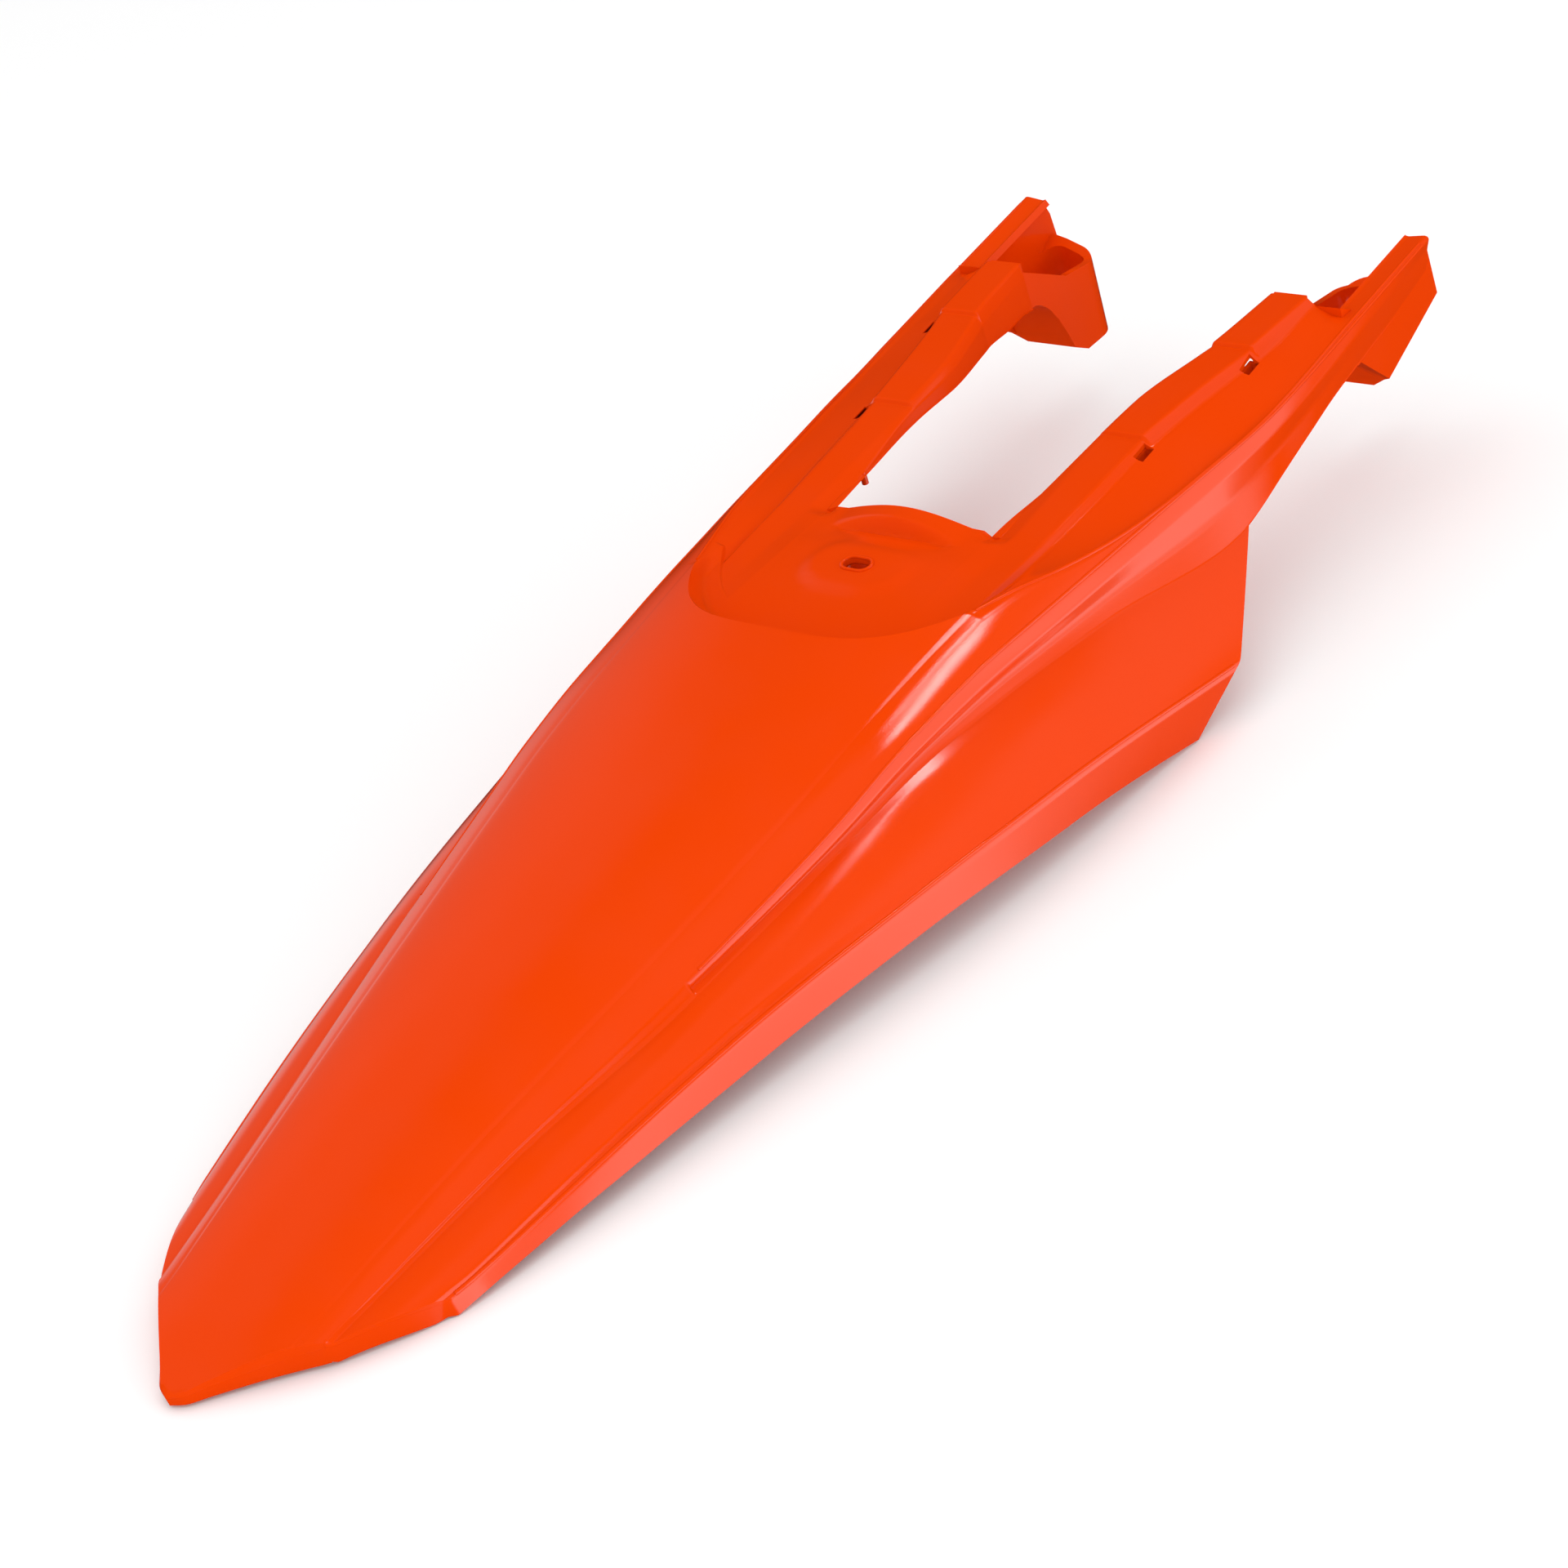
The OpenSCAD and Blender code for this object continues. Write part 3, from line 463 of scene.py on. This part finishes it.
def build_skin():
    """The outer and inner face as one closed mesh, joined along every open edge."""
    def out_id(r, c):
        return r * n_cols + c

    def in_id(r, c):
        return (n_rows + r) * n_cols + c

    def has(r, c):
        return 0 <= r < n_rows - 1 and 0 <= c < n_cols - 1 and covered[r, c]

    faces = []
    for r in range(n_rows - 1):
        for c in range(n_cols - 1):
            if not covered[r, c]:
                continue
            faces.append((out_id(r, c), out_id(r, c + 1), out_id(r + 1, c + 1), out_id(r + 1, c)))
            faces.append((in_id(r, c), in_id(r + 1, c), in_id(r + 1, c + 1), in_id(r, c + 1)))
            if not has(r, c - 1):
                faces.append((out_id(r, c), out_id(r + 1, c), in_id(r + 1, c), in_id(r, c)))
            if not has(r, c + 1):
                faces.append((out_id(r + 1, c + 1), out_id(r, c + 1), in_id(r, c + 1),
                              in_id(r + 1, c + 1)))
            if not has(r - 1, c):
                faces.append((out_id(r, c + 1), out_id(r, c), in_id(r, c), in_id(r, c + 1)))
            if not has(r + 1, c):
                faces.append((out_id(r + 1, c), out_id(r + 1, c + 1), in_id(r + 1, c + 1),
                              in_id(r + 1, c)))
    points = place_in_frame(np.concatenate([full.reshape(-1, 3), inner.reshape(-1, 3)]))
    points[:, 2] = np.maximum(points[:, 2], 0)  # the lowest edges rest flat on the floor
    mesh = bpy.data.meshes.new("fender_skin")
    mesh.from_pydata(points.tolist(), [], faces)
    return mesh


def finish_mesh(mesh, angle=32):
    """Joins double points and shades smoothly, but for edges sharper than the angle."""
    bm = bmesh.new()
    bm.from_mesh(mesh)
    bmesh.ops.delete(bm, geom=[v for v in bm.verts if not v.link_faces], context="VERTS")
    bmesh.ops.remove_doubles(bm, verts=bm.verts, dist=1e-6)
    bmesh.ops.recalc_face_normals(bm, faces=bm.faces)
    bm.to_mesh(mesh)
    bm.free()
    mesh.shade_smooth()
    mesh.set_sharp_from_angle(angle=np.radians(angle))
    mesh.update()


def keep_faces_flat(obj):
    """Lets the broad faces rule the shading, so that the roundings between them stay crisp."""
    step = obj.modifiers.new("face_weights", "WEIGHTED_NORMAL")
    step.mode = "FACE_AREA"
    step.weight = 60
    step.keep_sharp = True
    applied(obj)


def add_object(name, mesh):
    obj = bpy.data.objects.new(name, mesh)
    bpy.context.scene.collection.objects.link(obj)
    return obj


skin = add_object("moulded_skin", build_skin())
finish_mesh(skin.data)


# ---------------------------------------------------------------- sockets, slot and clip windows
SOCKET_IN, SOCKET_OUT, SOCKET_WALL = 60.5, 89.5, 3.0
SOCKET_REAR, SOCKET_FRONT = 660.0, 692.0
SOCKET_RIM, SOCKET_FOOT, SOCKET_BEND, SOCKET_HEEL = -17.5, -57.0, -12.0, -48.0
# The arch of the rear wall, as steps forwards and down from the bend.
SOCKET_ARCH = [(5, 1), (8.5, 3.2), (11.5, 6), (14.5, 9.8), (18.5, 17), (22.5, 27)]
RIM_BEND = (665.0, -14.0)
SOCKET_R, SOCKET_SLANT, CHEEK = 14.0, np.radians(17), 6.5
SOCKET_CORNER = 8.0
SOCKET_ROUND = 1.3
# The block that becomes a socket reaches from here to here before its side outline cuts it.
BLOCK_LOW, BLOCK_HIGH = -80, 20
# The foot is bevelled by a plane through the cheek, turned about the Y and the X axis.
FOOT_BEVEL_TILT, FOOT_BEVEL_TURN, FOOT_BEVEL_Z = -38.5, 9.9, -30
WINDOW_L, WINDOW_W = 9.0, 4.0
SLOT_L, SLOT_W = 12.0, 7.0
# Places of the clip windows along the arms, and how far they lie outside the ledge.
WINDOW_YS = (REAR_STEP_Y - 6, FRONT_STEP_Y - 7)
WINDOW_OUT = 3.6


def prism(name, outline, low, high, axis="z", move=None):
    """A straight prism over a plan outline, or over a side outline (y, z) when axis is x."""
    n = len(outline)
    points = []
    for level in (low, high):
        for a, b in outline:
            points.append((a, b, level) if axis == "z" else (level, a, b))
    faces = [tuple(range(n))[::-1], tuple(range(n, 2 * n))]
    faces += [(k, (k + 1) % n, n + (k + 1) % n, n + k) for k in range(n)]
    points = np.array(points, float)
    if move is not None:
        points = move(points)
    mesh = bpy.data.meshes.new(name)
    mesh.from_pydata(place_in_frame(points).tolist(), [], faces)
    bm = bmesh.new()
    bm.from_mesh(mesh)
    bmesh.ops.recalc_face_normals(bm, faces=bm.faces)
    bm.to_mesh(mesh)
    bm.free()
    return add_object(name, mesh)


def applied(obj):
    """Keeps what the object's modifiers make of it as its plain mesh."""
    graph = bpy.context.evaluated_depsgraph_get()
    mesh = bpy.data.meshes.new_from_object(obj.evaluated_get(graph))
    old = obj.data
    obj.modifiers.clear()
    obj.data = mesh
    bpy.data.meshes.remove(old)


def combine(obj, operation, other):
    """Joins, cuts or intersects an object with another one, which goes away."""
    step = obj.modifiers.new("combine", "BOOLEAN")
    step.operation = operation
    step.solver = "EXACT"
    step.object = other
    applied(obj)
    bpy.data.objects.remove(other)


def about(y, z, angle):
    """A turn about the line across the bike through (y, z)."""
    def move(p):
        q = p.copy()
        dy, dz = p[:, 1] - y, p[:, 2] - z
        q[:, 1] = y + dy * np.cos(angle) - dz * np.sin(angle)
        q[:, 2] = z + dy * np.sin(angle) + dz * np.cos(angle)
        return q
    return move


def arc(cx, cy, r, a0, a1, n=10):
    """Points along an arc, between two angles in degrees."""
    a = np.radians(np.linspace(a0, a1, n + 1))
    return [(cx + r * np.cos(t), cy + r * np.sin(t)) for t in a]


def socket_form(name, pulled):
    """The socket's block, or with a wall pulled in, the block that is its inside."""
    x0, x1 = SOCKET_IN + pulled, SOCKET_OUT + (0 if pulled else 3)
    y1 = SOCKET_FRONT - pulled / np.cos(SOCKET_SLANT)
    r, lean = SOCKET_R - pulled, 90 + np.degrees(SOCKET_SLANT)
    plan = [(x0, LEDGE_END_Y - 20), (x1, LEDGE_END_Y - 20)]
    if pulled:
        q = SOCKET_CORNER
        centre = y1 + (x1 - q - x0) * np.tan(SOCKET_SLANT) - q / np.cos(SOCKET_SLANT)
        plan += arc(x1 - q, centre, q, 0, lean)
    else:
        plan.append((x1, y1 + (x1 - x0) * np.tan(SOCKET_SLANT)))
    centre = y1 + r * np.tan(SOCKET_SLANT) - r / np.cos(SOCKET_SLANT)
    plan += arc(x0 + r, centre, r, lean, 180)
    form = prism(name, plan, BLOCK_LOW, BLOCK_HIGH)
    top = ledge_z(LEDGE_END_Y) - 2
    rear = LEDGE_END_Y - 0.5 + pulled
    heel = SOCKET_REAR + pulled
    cut, over = 4 * pulled, 12 * pulled
    side = [(rear, top + over), (rear, SOCKET_BEND)]
    side += [(rear + a, SOCKET_BEND - b) for a, b in SOCKET_ARCH]
    side += [(heel, SOCKET_HEEL), (heel, SOCKET_HEEL - cut), (heel + 9, SOCKET_FOOT + 2.5 - cut),
             (SOCKET_FRONT - 3, SOCKET_FOOT - cut), (ARM_END_Y + 12, SOCKET_FOOT - cut),
             (ARM_END_Y + 12, SOCKET_RIM + over), (SOCKET_FRONT + 6, SOCKET_RIM + over),
             (SOCKET_FRONT - 2, SOCKET_RIM - 3 + over), (RIM_BEND[0], RIM_BEND[1] + over)]
    combine(form, "INTERSECT", prism("side", side, 0, 130, axis="x"))
    return form


def build_socket():
    """The right socket: a hollow sleeve, its outer cheek and the wall that ends the ledge."""
    socket = socket_form("right_socket", 0)
    combine(socket, "DIFFERENCE", socket_form("inside", SOCKET_WALL))
    top = -1.2
    cheek = [(LEDGE_END_Y - 0.5, top), (ARM_END_Y - 0.4, top), (ARM_END_Y + 2.5, top - 7),
             (ARM_END_Y + 5, -31), (SOCKET_REAR, SOCKET_HEEL + 3), (LEDGE_END_Y + 2, -20),
             (LEDGE_END_Y - 0.5, -20)]
    combine(socket, "UNION", prism("cheek", cheek, SOCKET_OUT, SOCKET_OUT + CHEEK, axis="x"))
    end_top = ledge_z(LEDGE_END_Y) + STEP_RISE - 1
    end = [(LEDGE_END_Y - 0.5, SOCKET_BEND + 2), (LEDGE_END_Y + 2.5, SOCKET_BEND + 2),
           (LEDGE_END_Y + 2.5, end_top), (LEDGE_END_Y - 0.5, end_top)]
    combine(socket, "UNION",
            prism("ledge_end", end, SOCKET_IN + 1, ledge_x(LEDGE_END_Y) - 1, axis="x"))

    def lift(p):
        turn = (Matrix.Rotation(np.radians(FOOT_BEVEL_TILT), 3, "Y")
                @ Matrix.Rotation(np.radians(FOOT_BEVEL_TURN), 3, "X"))
        at = np.array([SOCKET_OUT + CHEEK, ARM_END_Y + 4, FOOT_BEVEL_Z])
        return p @ np.array(turn).T + at

    square = [(-200, -200), (200, -200), (200, 200), (-200, 200)]
    combine(socket, "INTERSECT", prism("bevel_cut", square, 0, 200, move=lift))
    edge = socket.modifiers.new("rounding", "BEVEL")
    edge.width = SOCKET_ROUND / 1000
    edge.segments = 4
    edge.limit_method = "ANGLE"
    edge.angle_limit = np.radians(28)
    applied(socket)
    return socket


def mirrored_mesh(mesh, name):
    """A copy of a mesh on the other side of the bike."""
    other = mesh.copy()
    other.name = name
    other.transform(Matrix.Scale(-1, 4, (1, 0, 0)))
    other.flip_normals()
    return other


right_socket = build_socket()
left_socket = add_object("left_socket", mirrored_mesh(right_socket.data, "left_socket"))
for piece in (right_socket, left_socket):
    finish_mesh(piece.data, 30)
    keep_faces_flat(piece)


def slot_outline(length, width, n=12):
    """An oblong across the bike with round ends."""
    half = (length - width) / 2
    right_end = arc(half, BOSS_Y, width / 2, -90, 90, n)
    left_end = arc(-half, BOSS_Y, width / 2, 90, 270, n)
    return right_end + left_end


def window_outline(side, y, grown):
    """The rectangle of a clip window beside the ledge, made larger all round by a wall."""
    x = side * (float(ledge_x(y)) + WINDOW_OUT)
    w, l = WINDOW_W / 2 + grown, WINDOW_L / 2 + grown
    return [(x - w, y - l), (x + w, y - l), (x + w, y + l), (x - w, y + l)]


def window_z(y):
    """Height of the strip in which the clip windows lie."""
    return float(ledge_z(y)) - LEDGE_DROP


cutter = prism("slot_cut", slot_outline(SLOT_L, SLOT_W), DECK_Z - 20, DECK_Z + 20,
               move=about(BOSS_Y, DECK_Z, -PITCH))
for side in (-1, 1):
    for y in WINDOW_YS:
        combine(cutter, "UNION", prism("window_cut", window_outline(side, y, 0),
                                       window_z(y) - 6, window_z(y) + 6))
combine(skin, "DIFFERENCE", cutter)
finish_mesh(skin.data)
keep_faces_flat(skin)


# ---------------------------------------------------------------- material
ORANGE = (0.80, 0.050, 0.0, 1)
ROUGHNESS_LOW, ROUGHNESS_HIGH = 0.065, 0.115
POLISH_SCALE, GRAIN_SCALE, UNEVEN_SCALE = 38, 1400, 26
plastic = bpy.data.materials.new("gloss_orange_plastic")
plastic.use_nodes = True
nodes = plastic.node_tree.nodes
links = plastic.node_tree.links
shader = nodes["Principled BSDF"]
shader.inputs["Base Color"].default_value = ORANGE
shader.inputs["IOR"].default_value = 1.5
place = nodes.new("ShaderNodeTexCoord")


def noise(scale, detail):
    """Noise over the object's own coordinates."""
    made = nodes.new("ShaderNodeTexNoise")
    made.inputs["Scale"].default_value = scale
    made.inputs["Detail"].default_value = detail
    links.new(place.outputs["Object"], made.inputs["Vector"])
    return made.outputs["Fac"]


def bump(height, strength, distance):
    """A bump from a height, with its strength and its distance in metres."""
    made = nodes.new("ShaderNodeBump")
    made.inputs["Strength"].default_value = strength
    made.inputs["Distance"].default_value = distance
    links.new(height, made.inputs["Height"])
    return made


# The gloss changes a little from place to place, as the mould was polished.
polish = nodes.new("ShaderNodeMapRange")
links.new(noise(POLISH_SCALE, 4), polish.inputs["Value"])
for key, value in (("From Min", 0.3), ("From Max", 0.7),
                   ("To Min", ROUGHNESS_LOW), ("To Max", ROUGHNESS_HIGH)):
    polish.inputs[key].default_value = value
links.new(polish.outputs["Result"], shader.inputs["Roughness"])
# Fine moulding grain over a faint unevenness of the wall.
grain = bump(noise(GRAIN_SCALE, 2), 0.03, 0.0004)
uneven = bump(noise(UNEVEN_SCALE, 1), 0.05, 0.002)
links.new(uneven.outputs["Normal"], grain.inputs["Normal"])
links.new(grain.outputs["Normal"], shader.inputs["Normal"])


# ---------------------------------------------------------------- beads along edges
BEAD_SIDES = 10


def bead_tree():
    """A round bead of a given radius that follows the edges of a path."""
    tree = bpy.data.node_groups.new("edge_bead", "GeometryNodeTree")
    face = tree.interface
    face.new_socket("Path", in_out="INPUT", socket_type="NodeSocketGeometry")
    face.new_socket("Radius", in_out="INPUT", socket_type="NodeSocketFloat")
    face.new_socket("Bead", in_out="OUTPUT", socket_type="NodeSocketGeometry")
    make, join = tree.nodes.new, tree.links.new
    given, kept = make("NodeGroupInput"), make("NodeGroupOutput")
    path = make("GeometryNodeMeshToCurve")
    ring = make("GeometryNodeCurvePrimitiveCircle")
    ring.inputs["Resolution"].default_value = BEAD_SIDES
    tube = make("GeometryNodeCurveToMesh")
    tube.inputs["Fill Caps"].default_value = True
    smooth = make("GeometryNodeSetShadeSmooth")
    whole = make("GeometryNodeRealizeInstances")
    finish = make("GeometryNodeSetMaterial")
    finish.inputs["Material"].default_value = plastic
    join(given.outputs["Path"], path.inputs["Mesh"])
    join(given.outputs["Radius"], ring.inputs["Radius"])
    join(path.outputs["Curve"], tube.inputs["Curve"])
    join(ring.outputs["Curve"], tube.inputs["Profile Curve"])
    join(tube.outputs["Mesh"], smooth.inputs["Geometry"])
    join(smooth.outputs["Geometry"], whole.inputs["Geometry"])
    join(whole.outputs["Geometry"], finish.inputs["Geometry"])
    join(finish.outputs["Geometry"], kept.inputs["Bead"])
    return tree


BEAD = bead_tree()


def bead(name, paths, radius):
    """Beads along lines of points in the moulding's frame; a closed line ends as it began."""
    points, edges = [], []
    for line in paths:
        closed = np.allclose(line[0], line[-1])
        line = np.array(line[:-1] if closed else line, float)
        at, n = len(points), len(line)
        points += place_in_frame(line).tolist()
        edges += [(at + k, at + k + 1) for k in range(n - 1)]
        if closed:
            edges.append((at + n - 1, at))
    mesh = bpy.data.meshes.new(name)
    mesh.from_pydata(points, edges, [])
    obj = add_object(name, mesh)
    step = obj.modifiers.new("bead", "NODES")
    step.node_group = BEAD
    size = next(i for i in BEAD.interface.items_tree if i.name == "Radius")
    step[size.identifier] = radius / 1000
    applied(obj)
    finish_mesh(obj.data, 50)
    return obj


def edge_line(key, start, end, sunk):
    """The running line of a key on both sides, sunk a little into the skin."""
    j = labels.index(key) + ROUNDING_MIDDLE
    rows = np.nonzero((row_place >= start) & (row_place <= end))[0]
    return [full[rows, c] + sunk * inward_skin[rows, c] for c in (middle + j, middle - j)]


def collar(name, inner_line, outer_line, low, high):
    """A short wall round an opening, on the underside of the skin."""
    wall = prism(name, outer_line, low, high)
    combine(wall, "DIFFERENCE", prism("inside", inner_line, low - 5, high + 5))
    finish_mesh(wall.data)
    return wall


SLOT_COLLAR_W = 3
WINDOW_COLLAR_WALL = 1.2
collars = [collar("slot_collar", slot_outline(SLOT_L, SLOT_W),
                  slot_outline(SLOT_L + SLOT_COLLAR_W, SLOT_W + SLOT_COLLAR_W),
                  DECK_Z - 8.5, DECK_Z - 2)]
for side in (-1, 1):
    for y in WINDOW_YS:
        collars.append(collar("window_collar", window_outline(side, y, 0),
                              window_outline(side, y, WINDOW_COLLAR_WALL),
                              window_z(y) - 7.5, window_z(y) - 1.2))

# Beads: each along its line, sunk a little, so that only a fine edge stands out.
RIM_OUT = 0.9
rim_loop = [(x, y, float(deck_z(x, y)) + 0.1)
            for x, y in slot_outline(SLOT_L + RIM_OUT, SLOT_W + RIM_OUT, 16)]
slot_rim = bead("slot_rim", [rim_loop + rim_loop[:1]], 0.7)
crest_bead = bead("crest_bead", edge_line("crest", 363, 698, 0.3), 0.75)
ridge_bead = bead("ridge_bead", edge_line("ridge", 212, 698, 0.35), 0.75)
crease_bead = bead("crease_bead", edge_line("crease", 6, 526, 0.55), 0.95)
tail_row = count_first - 2
tail_edge = slice(middle - crease_at, middle + crease_at + 1)
tail_line = full[tail_row, tail_edge] + 0.68 * inward_skin[tail_row, tail_edge]
tail_bead = bead("tail_bead", [tail_line], 0.75)
# A small peg at the inner edge of the left arm.
NUB_X, NUB_Y, NUB_R = -41, 480, 1.4
nub = prism("edge_nub", arc(NUB_X, NUB_Y, NUB_R, 0, 345, 23), 8, 13.5)
finish_mesh(nub.data)
pieces = [nub, skin, right_socket, left_socket, slot_rim, crest_bead, ridge_bead, crease_bead,
          tail_bead] + collars

for piece in pieces:
    piece.data.materials.clear()
    piece.data.materials.append(plastic)
    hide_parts("fender")
    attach(piece, "root")

# ---------------------------------------------------------------- floor, light and camera
FLOOR_HALF = 6
FLOOR_Z = -0.0006
floor_mesh = bpy.data.meshes.new("floor")
floor_mesh.from_pydata([(-FLOOR_HALF, -FLOOR_HALF, 0), (FLOOR_HALF, -FLOOR_HALF, 0),
                        (FLOOR_HALF, FLOOR_HALF, 0), (-FLOOR_HALF, FLOOR_HALF, 0)],
                       [], [(0, 1, 2, 3)])
floor = add_object("floor", floor_mesh)
floor.location.z = FLOOR_Z
floor.visible_glossy = False
paper = bpy.data.materials.new("white_paper")
paper.use_nodes = True
paper_shader = paper.node_tree.nodes["Principled BSDF"]
paper_shader.inputs["Base Color"].default_value = (0.95, 0.95, 0.95, 1)
paper_shader.inputs["Roughness"].default_value = 0.9
floor_mesh.materials.append(paper)

world = bpy.data.worlds.new("studio")
bpy.context.scene.world = world
world.use_nodes = True
tree = world.node_tree
tree.nodes.clear()


def background(strength):
    """A white background of a given strength."""
    made = tree.nodes.new("ShaderNodeBackground")
    made.inputs["Color"].default_value = (1, 1, 1, 1)
    made.inputs["Strength"].default_value = strength
    return made


def math(operation, *values):
    """A calculation in the world's nodes, on numbers and on other nodes' outputs."""
    made = tree.nodes.new("ShaderNodeMath")
    made.operation = operation
    for k, value in enumerate(values):
        if isinstance(value, (int, float)):
            made.inputs[k].default_value = value
        else:
            tree.links.new(value, made.inputs[k])
    return made.outputs[0]


def soft_step(low, high, value):
    """Rises smoothly from 0 to 1 while the value goes from low to high."""
    made = tree.nodes.new("ShaderNodeMapRange")
    made.interpolation_type = "SMOOTHSTEP"
    tree.links.new(value, made.inputs["Value"])
    made.inputs["From Min"].default_value = low
    made.inputs["From Max"].default_value = high
    return made.outputs["Result"]


# Directions of the world, as an azimuth and an elevation.
coords = tree.nodes.new("ShaderNodeTexCoord")
split = tree.nodes.new("ShaderNodeSeparateXYZ")
tree.links.new(coords.outputs["Generated"], split.inputs[0])
azimuth = math("ARCTAN2", split.outputs["Y"], split.outputs["X"])
elevation = math("ARCSINE", split.outputs["Z"])
DEG = np.pi / 180


def panel_light(az0, az1, el0, el1, soft_az, soft_el, level):
    """A soft-edged bright panel in the studio, between two azimuths and two elevations."""
    def between(low, high, soft, value):
        rising = soft_step((low - soft) * DEG, (low + soft) * DEG, value)
        falling = soft_step(-(high + soft) * DEG, -(high - soft) * DEG,
                            math("MULTIPLY", value, -1.0))
        return math("MULTIPLY", rising, falling)

    return math("MULTIPLY", math("MULTIPLY", between(az0, az1, soft_az, azimuth),
                                 between(el0, el1, soft_el, elevation)), level)


# What the gloss mirrors: a dark studio with panels. Each has two azimuths, two elevations, the
# softness of both in degrees, and a level.
DARK_LEVEL = 0.01
glossy = DARK_LEVEL
for box in ((146, 181, -45, 48, 6, 10, 0.2),
            (150, 181, -45, 4, 6, 8, 0.35),
            (22, 58, 17, 47, 5, 6, 0.3),
            (0, 75, 45, 78, 10, 8, 0.1),
            (-15, 24, -50, 25, 6, 5, 0.12),
            (-12, 46, -50, -12, 13, 6, 0.7),
            (16, 44, -30, 8, 3, 4, 1.2),
            (-3, 7, -25, 26, 2, 4, 1.8),
            (24, 34, 4, 20, 2, 4, 0.6),
            # two small bright ones, mirrored as the patches at the dome's right
            (66, 72, 57, 63, 1, 1.5, 12.0),
            (75, 80, 57, 63, 1, 1.5, 9.0),
            # a faint one low down in front
            (55, 95, -58, -46, 8, 5, 0.4)):
    glossy = math("ADD", glossy, panel_light(*box))
# The camera sees plain white, and all that isn't gloss is lit by an even white.
EVEN_LIGHT = 0.95
path = tree.nodes.new("ShaderNodeLightPath")
plain = background(EVEN_LIGHT)
shine = background(1.0)
tree.links.new(glossy, shine.inputs["Strength"])
seen_white = background(1.0)
mix_gloss = tree.nodes.new("ShaderNodeMixShader")
tree.links.new(path.outputs["Is Glossy Ray"], mix_gloss.inputs[0])
tree.links.new(plain.outputs[0], mix_gloss.inputs[1])
tree.links.new(shine.outputs[0], mix_gloss.inputs[2])
mix_seen = tree.nodes.new("ShaderNodeMixShader")
tree.links.new(path.outputs["Is Camera Ray"], mix_seen.inputs[0])
tree.links.new(mix_gloss.outputs[0], mix_seen.inputs[1])
tree.links.new(seen_white.outputs[0], mix_seen.inputs[2])
sky = tree.nodes.new("ShaderNodeOutputWorld")
tree.links.new(mix_seen.outputs[0], sky.inputs["Surface"])


def area_light(name, at, target, width, height, power):
    """A rectangular lamp that lights the plastic but isn't mirrored in it."""
    data = bpy.data.lights.new(name, "AREA")
    data.shape = "RECTANGLE"
    data.size = width
    data.size_y = height
    data.energy = power
    obj = add_object(name, data)
    obj.location = at
    obj.rotation_euler = (Vector(target) - Vector(at)).to_track_quat("-Z", "Y").to_euler()
    obj.visible_glossy = False


area_light("overhead_softbox", (-0.3, -0.3, 1.9), (0, 0, 0), 2.6, 2.6, 9.5)
area_light("low_side_softbox", (1.3, -0.9, 0.3), (0, 0, 0.03), 1.6, 0.5, 4)
area_light("front_side_softbox", (1.5, 0.3, 0.45), (-0.05, 0.3, 0.05), 1.2, 0.6, 3)

# The camera as worked out from the photo's mirrored pairs of points.
FOCAL_PIXELS, FRAME_PIXELS, SENSOR = 4150, 1920, 36
CAMERA_AT = (0.726473, -0.811993, 0.682762)
camera_data = bpy.data.cameras.new("camera")
camera_data.lens = FOCAL_PIXELS / FRAME_PIXELS * SENSOR
camera_data.sensor_width = SENSOR
camera = add_object("camera", camera_data)
right = Vector((0.800214, 0.570729, -0.184190))
up = Vector((-0.181529, 0.523232, 0.832632))
back = Vector((0.571581, -0.632848, 0.522301))
turn = Matrix((right, up, back)).transposed()
camera.matrix_world = Matrix.Translation(CAMERA_AT) @ turn.to_4x4()
bpy.context.scene.camera = camera
bpy.context.scene.view_settings.view_transform = "Standard"
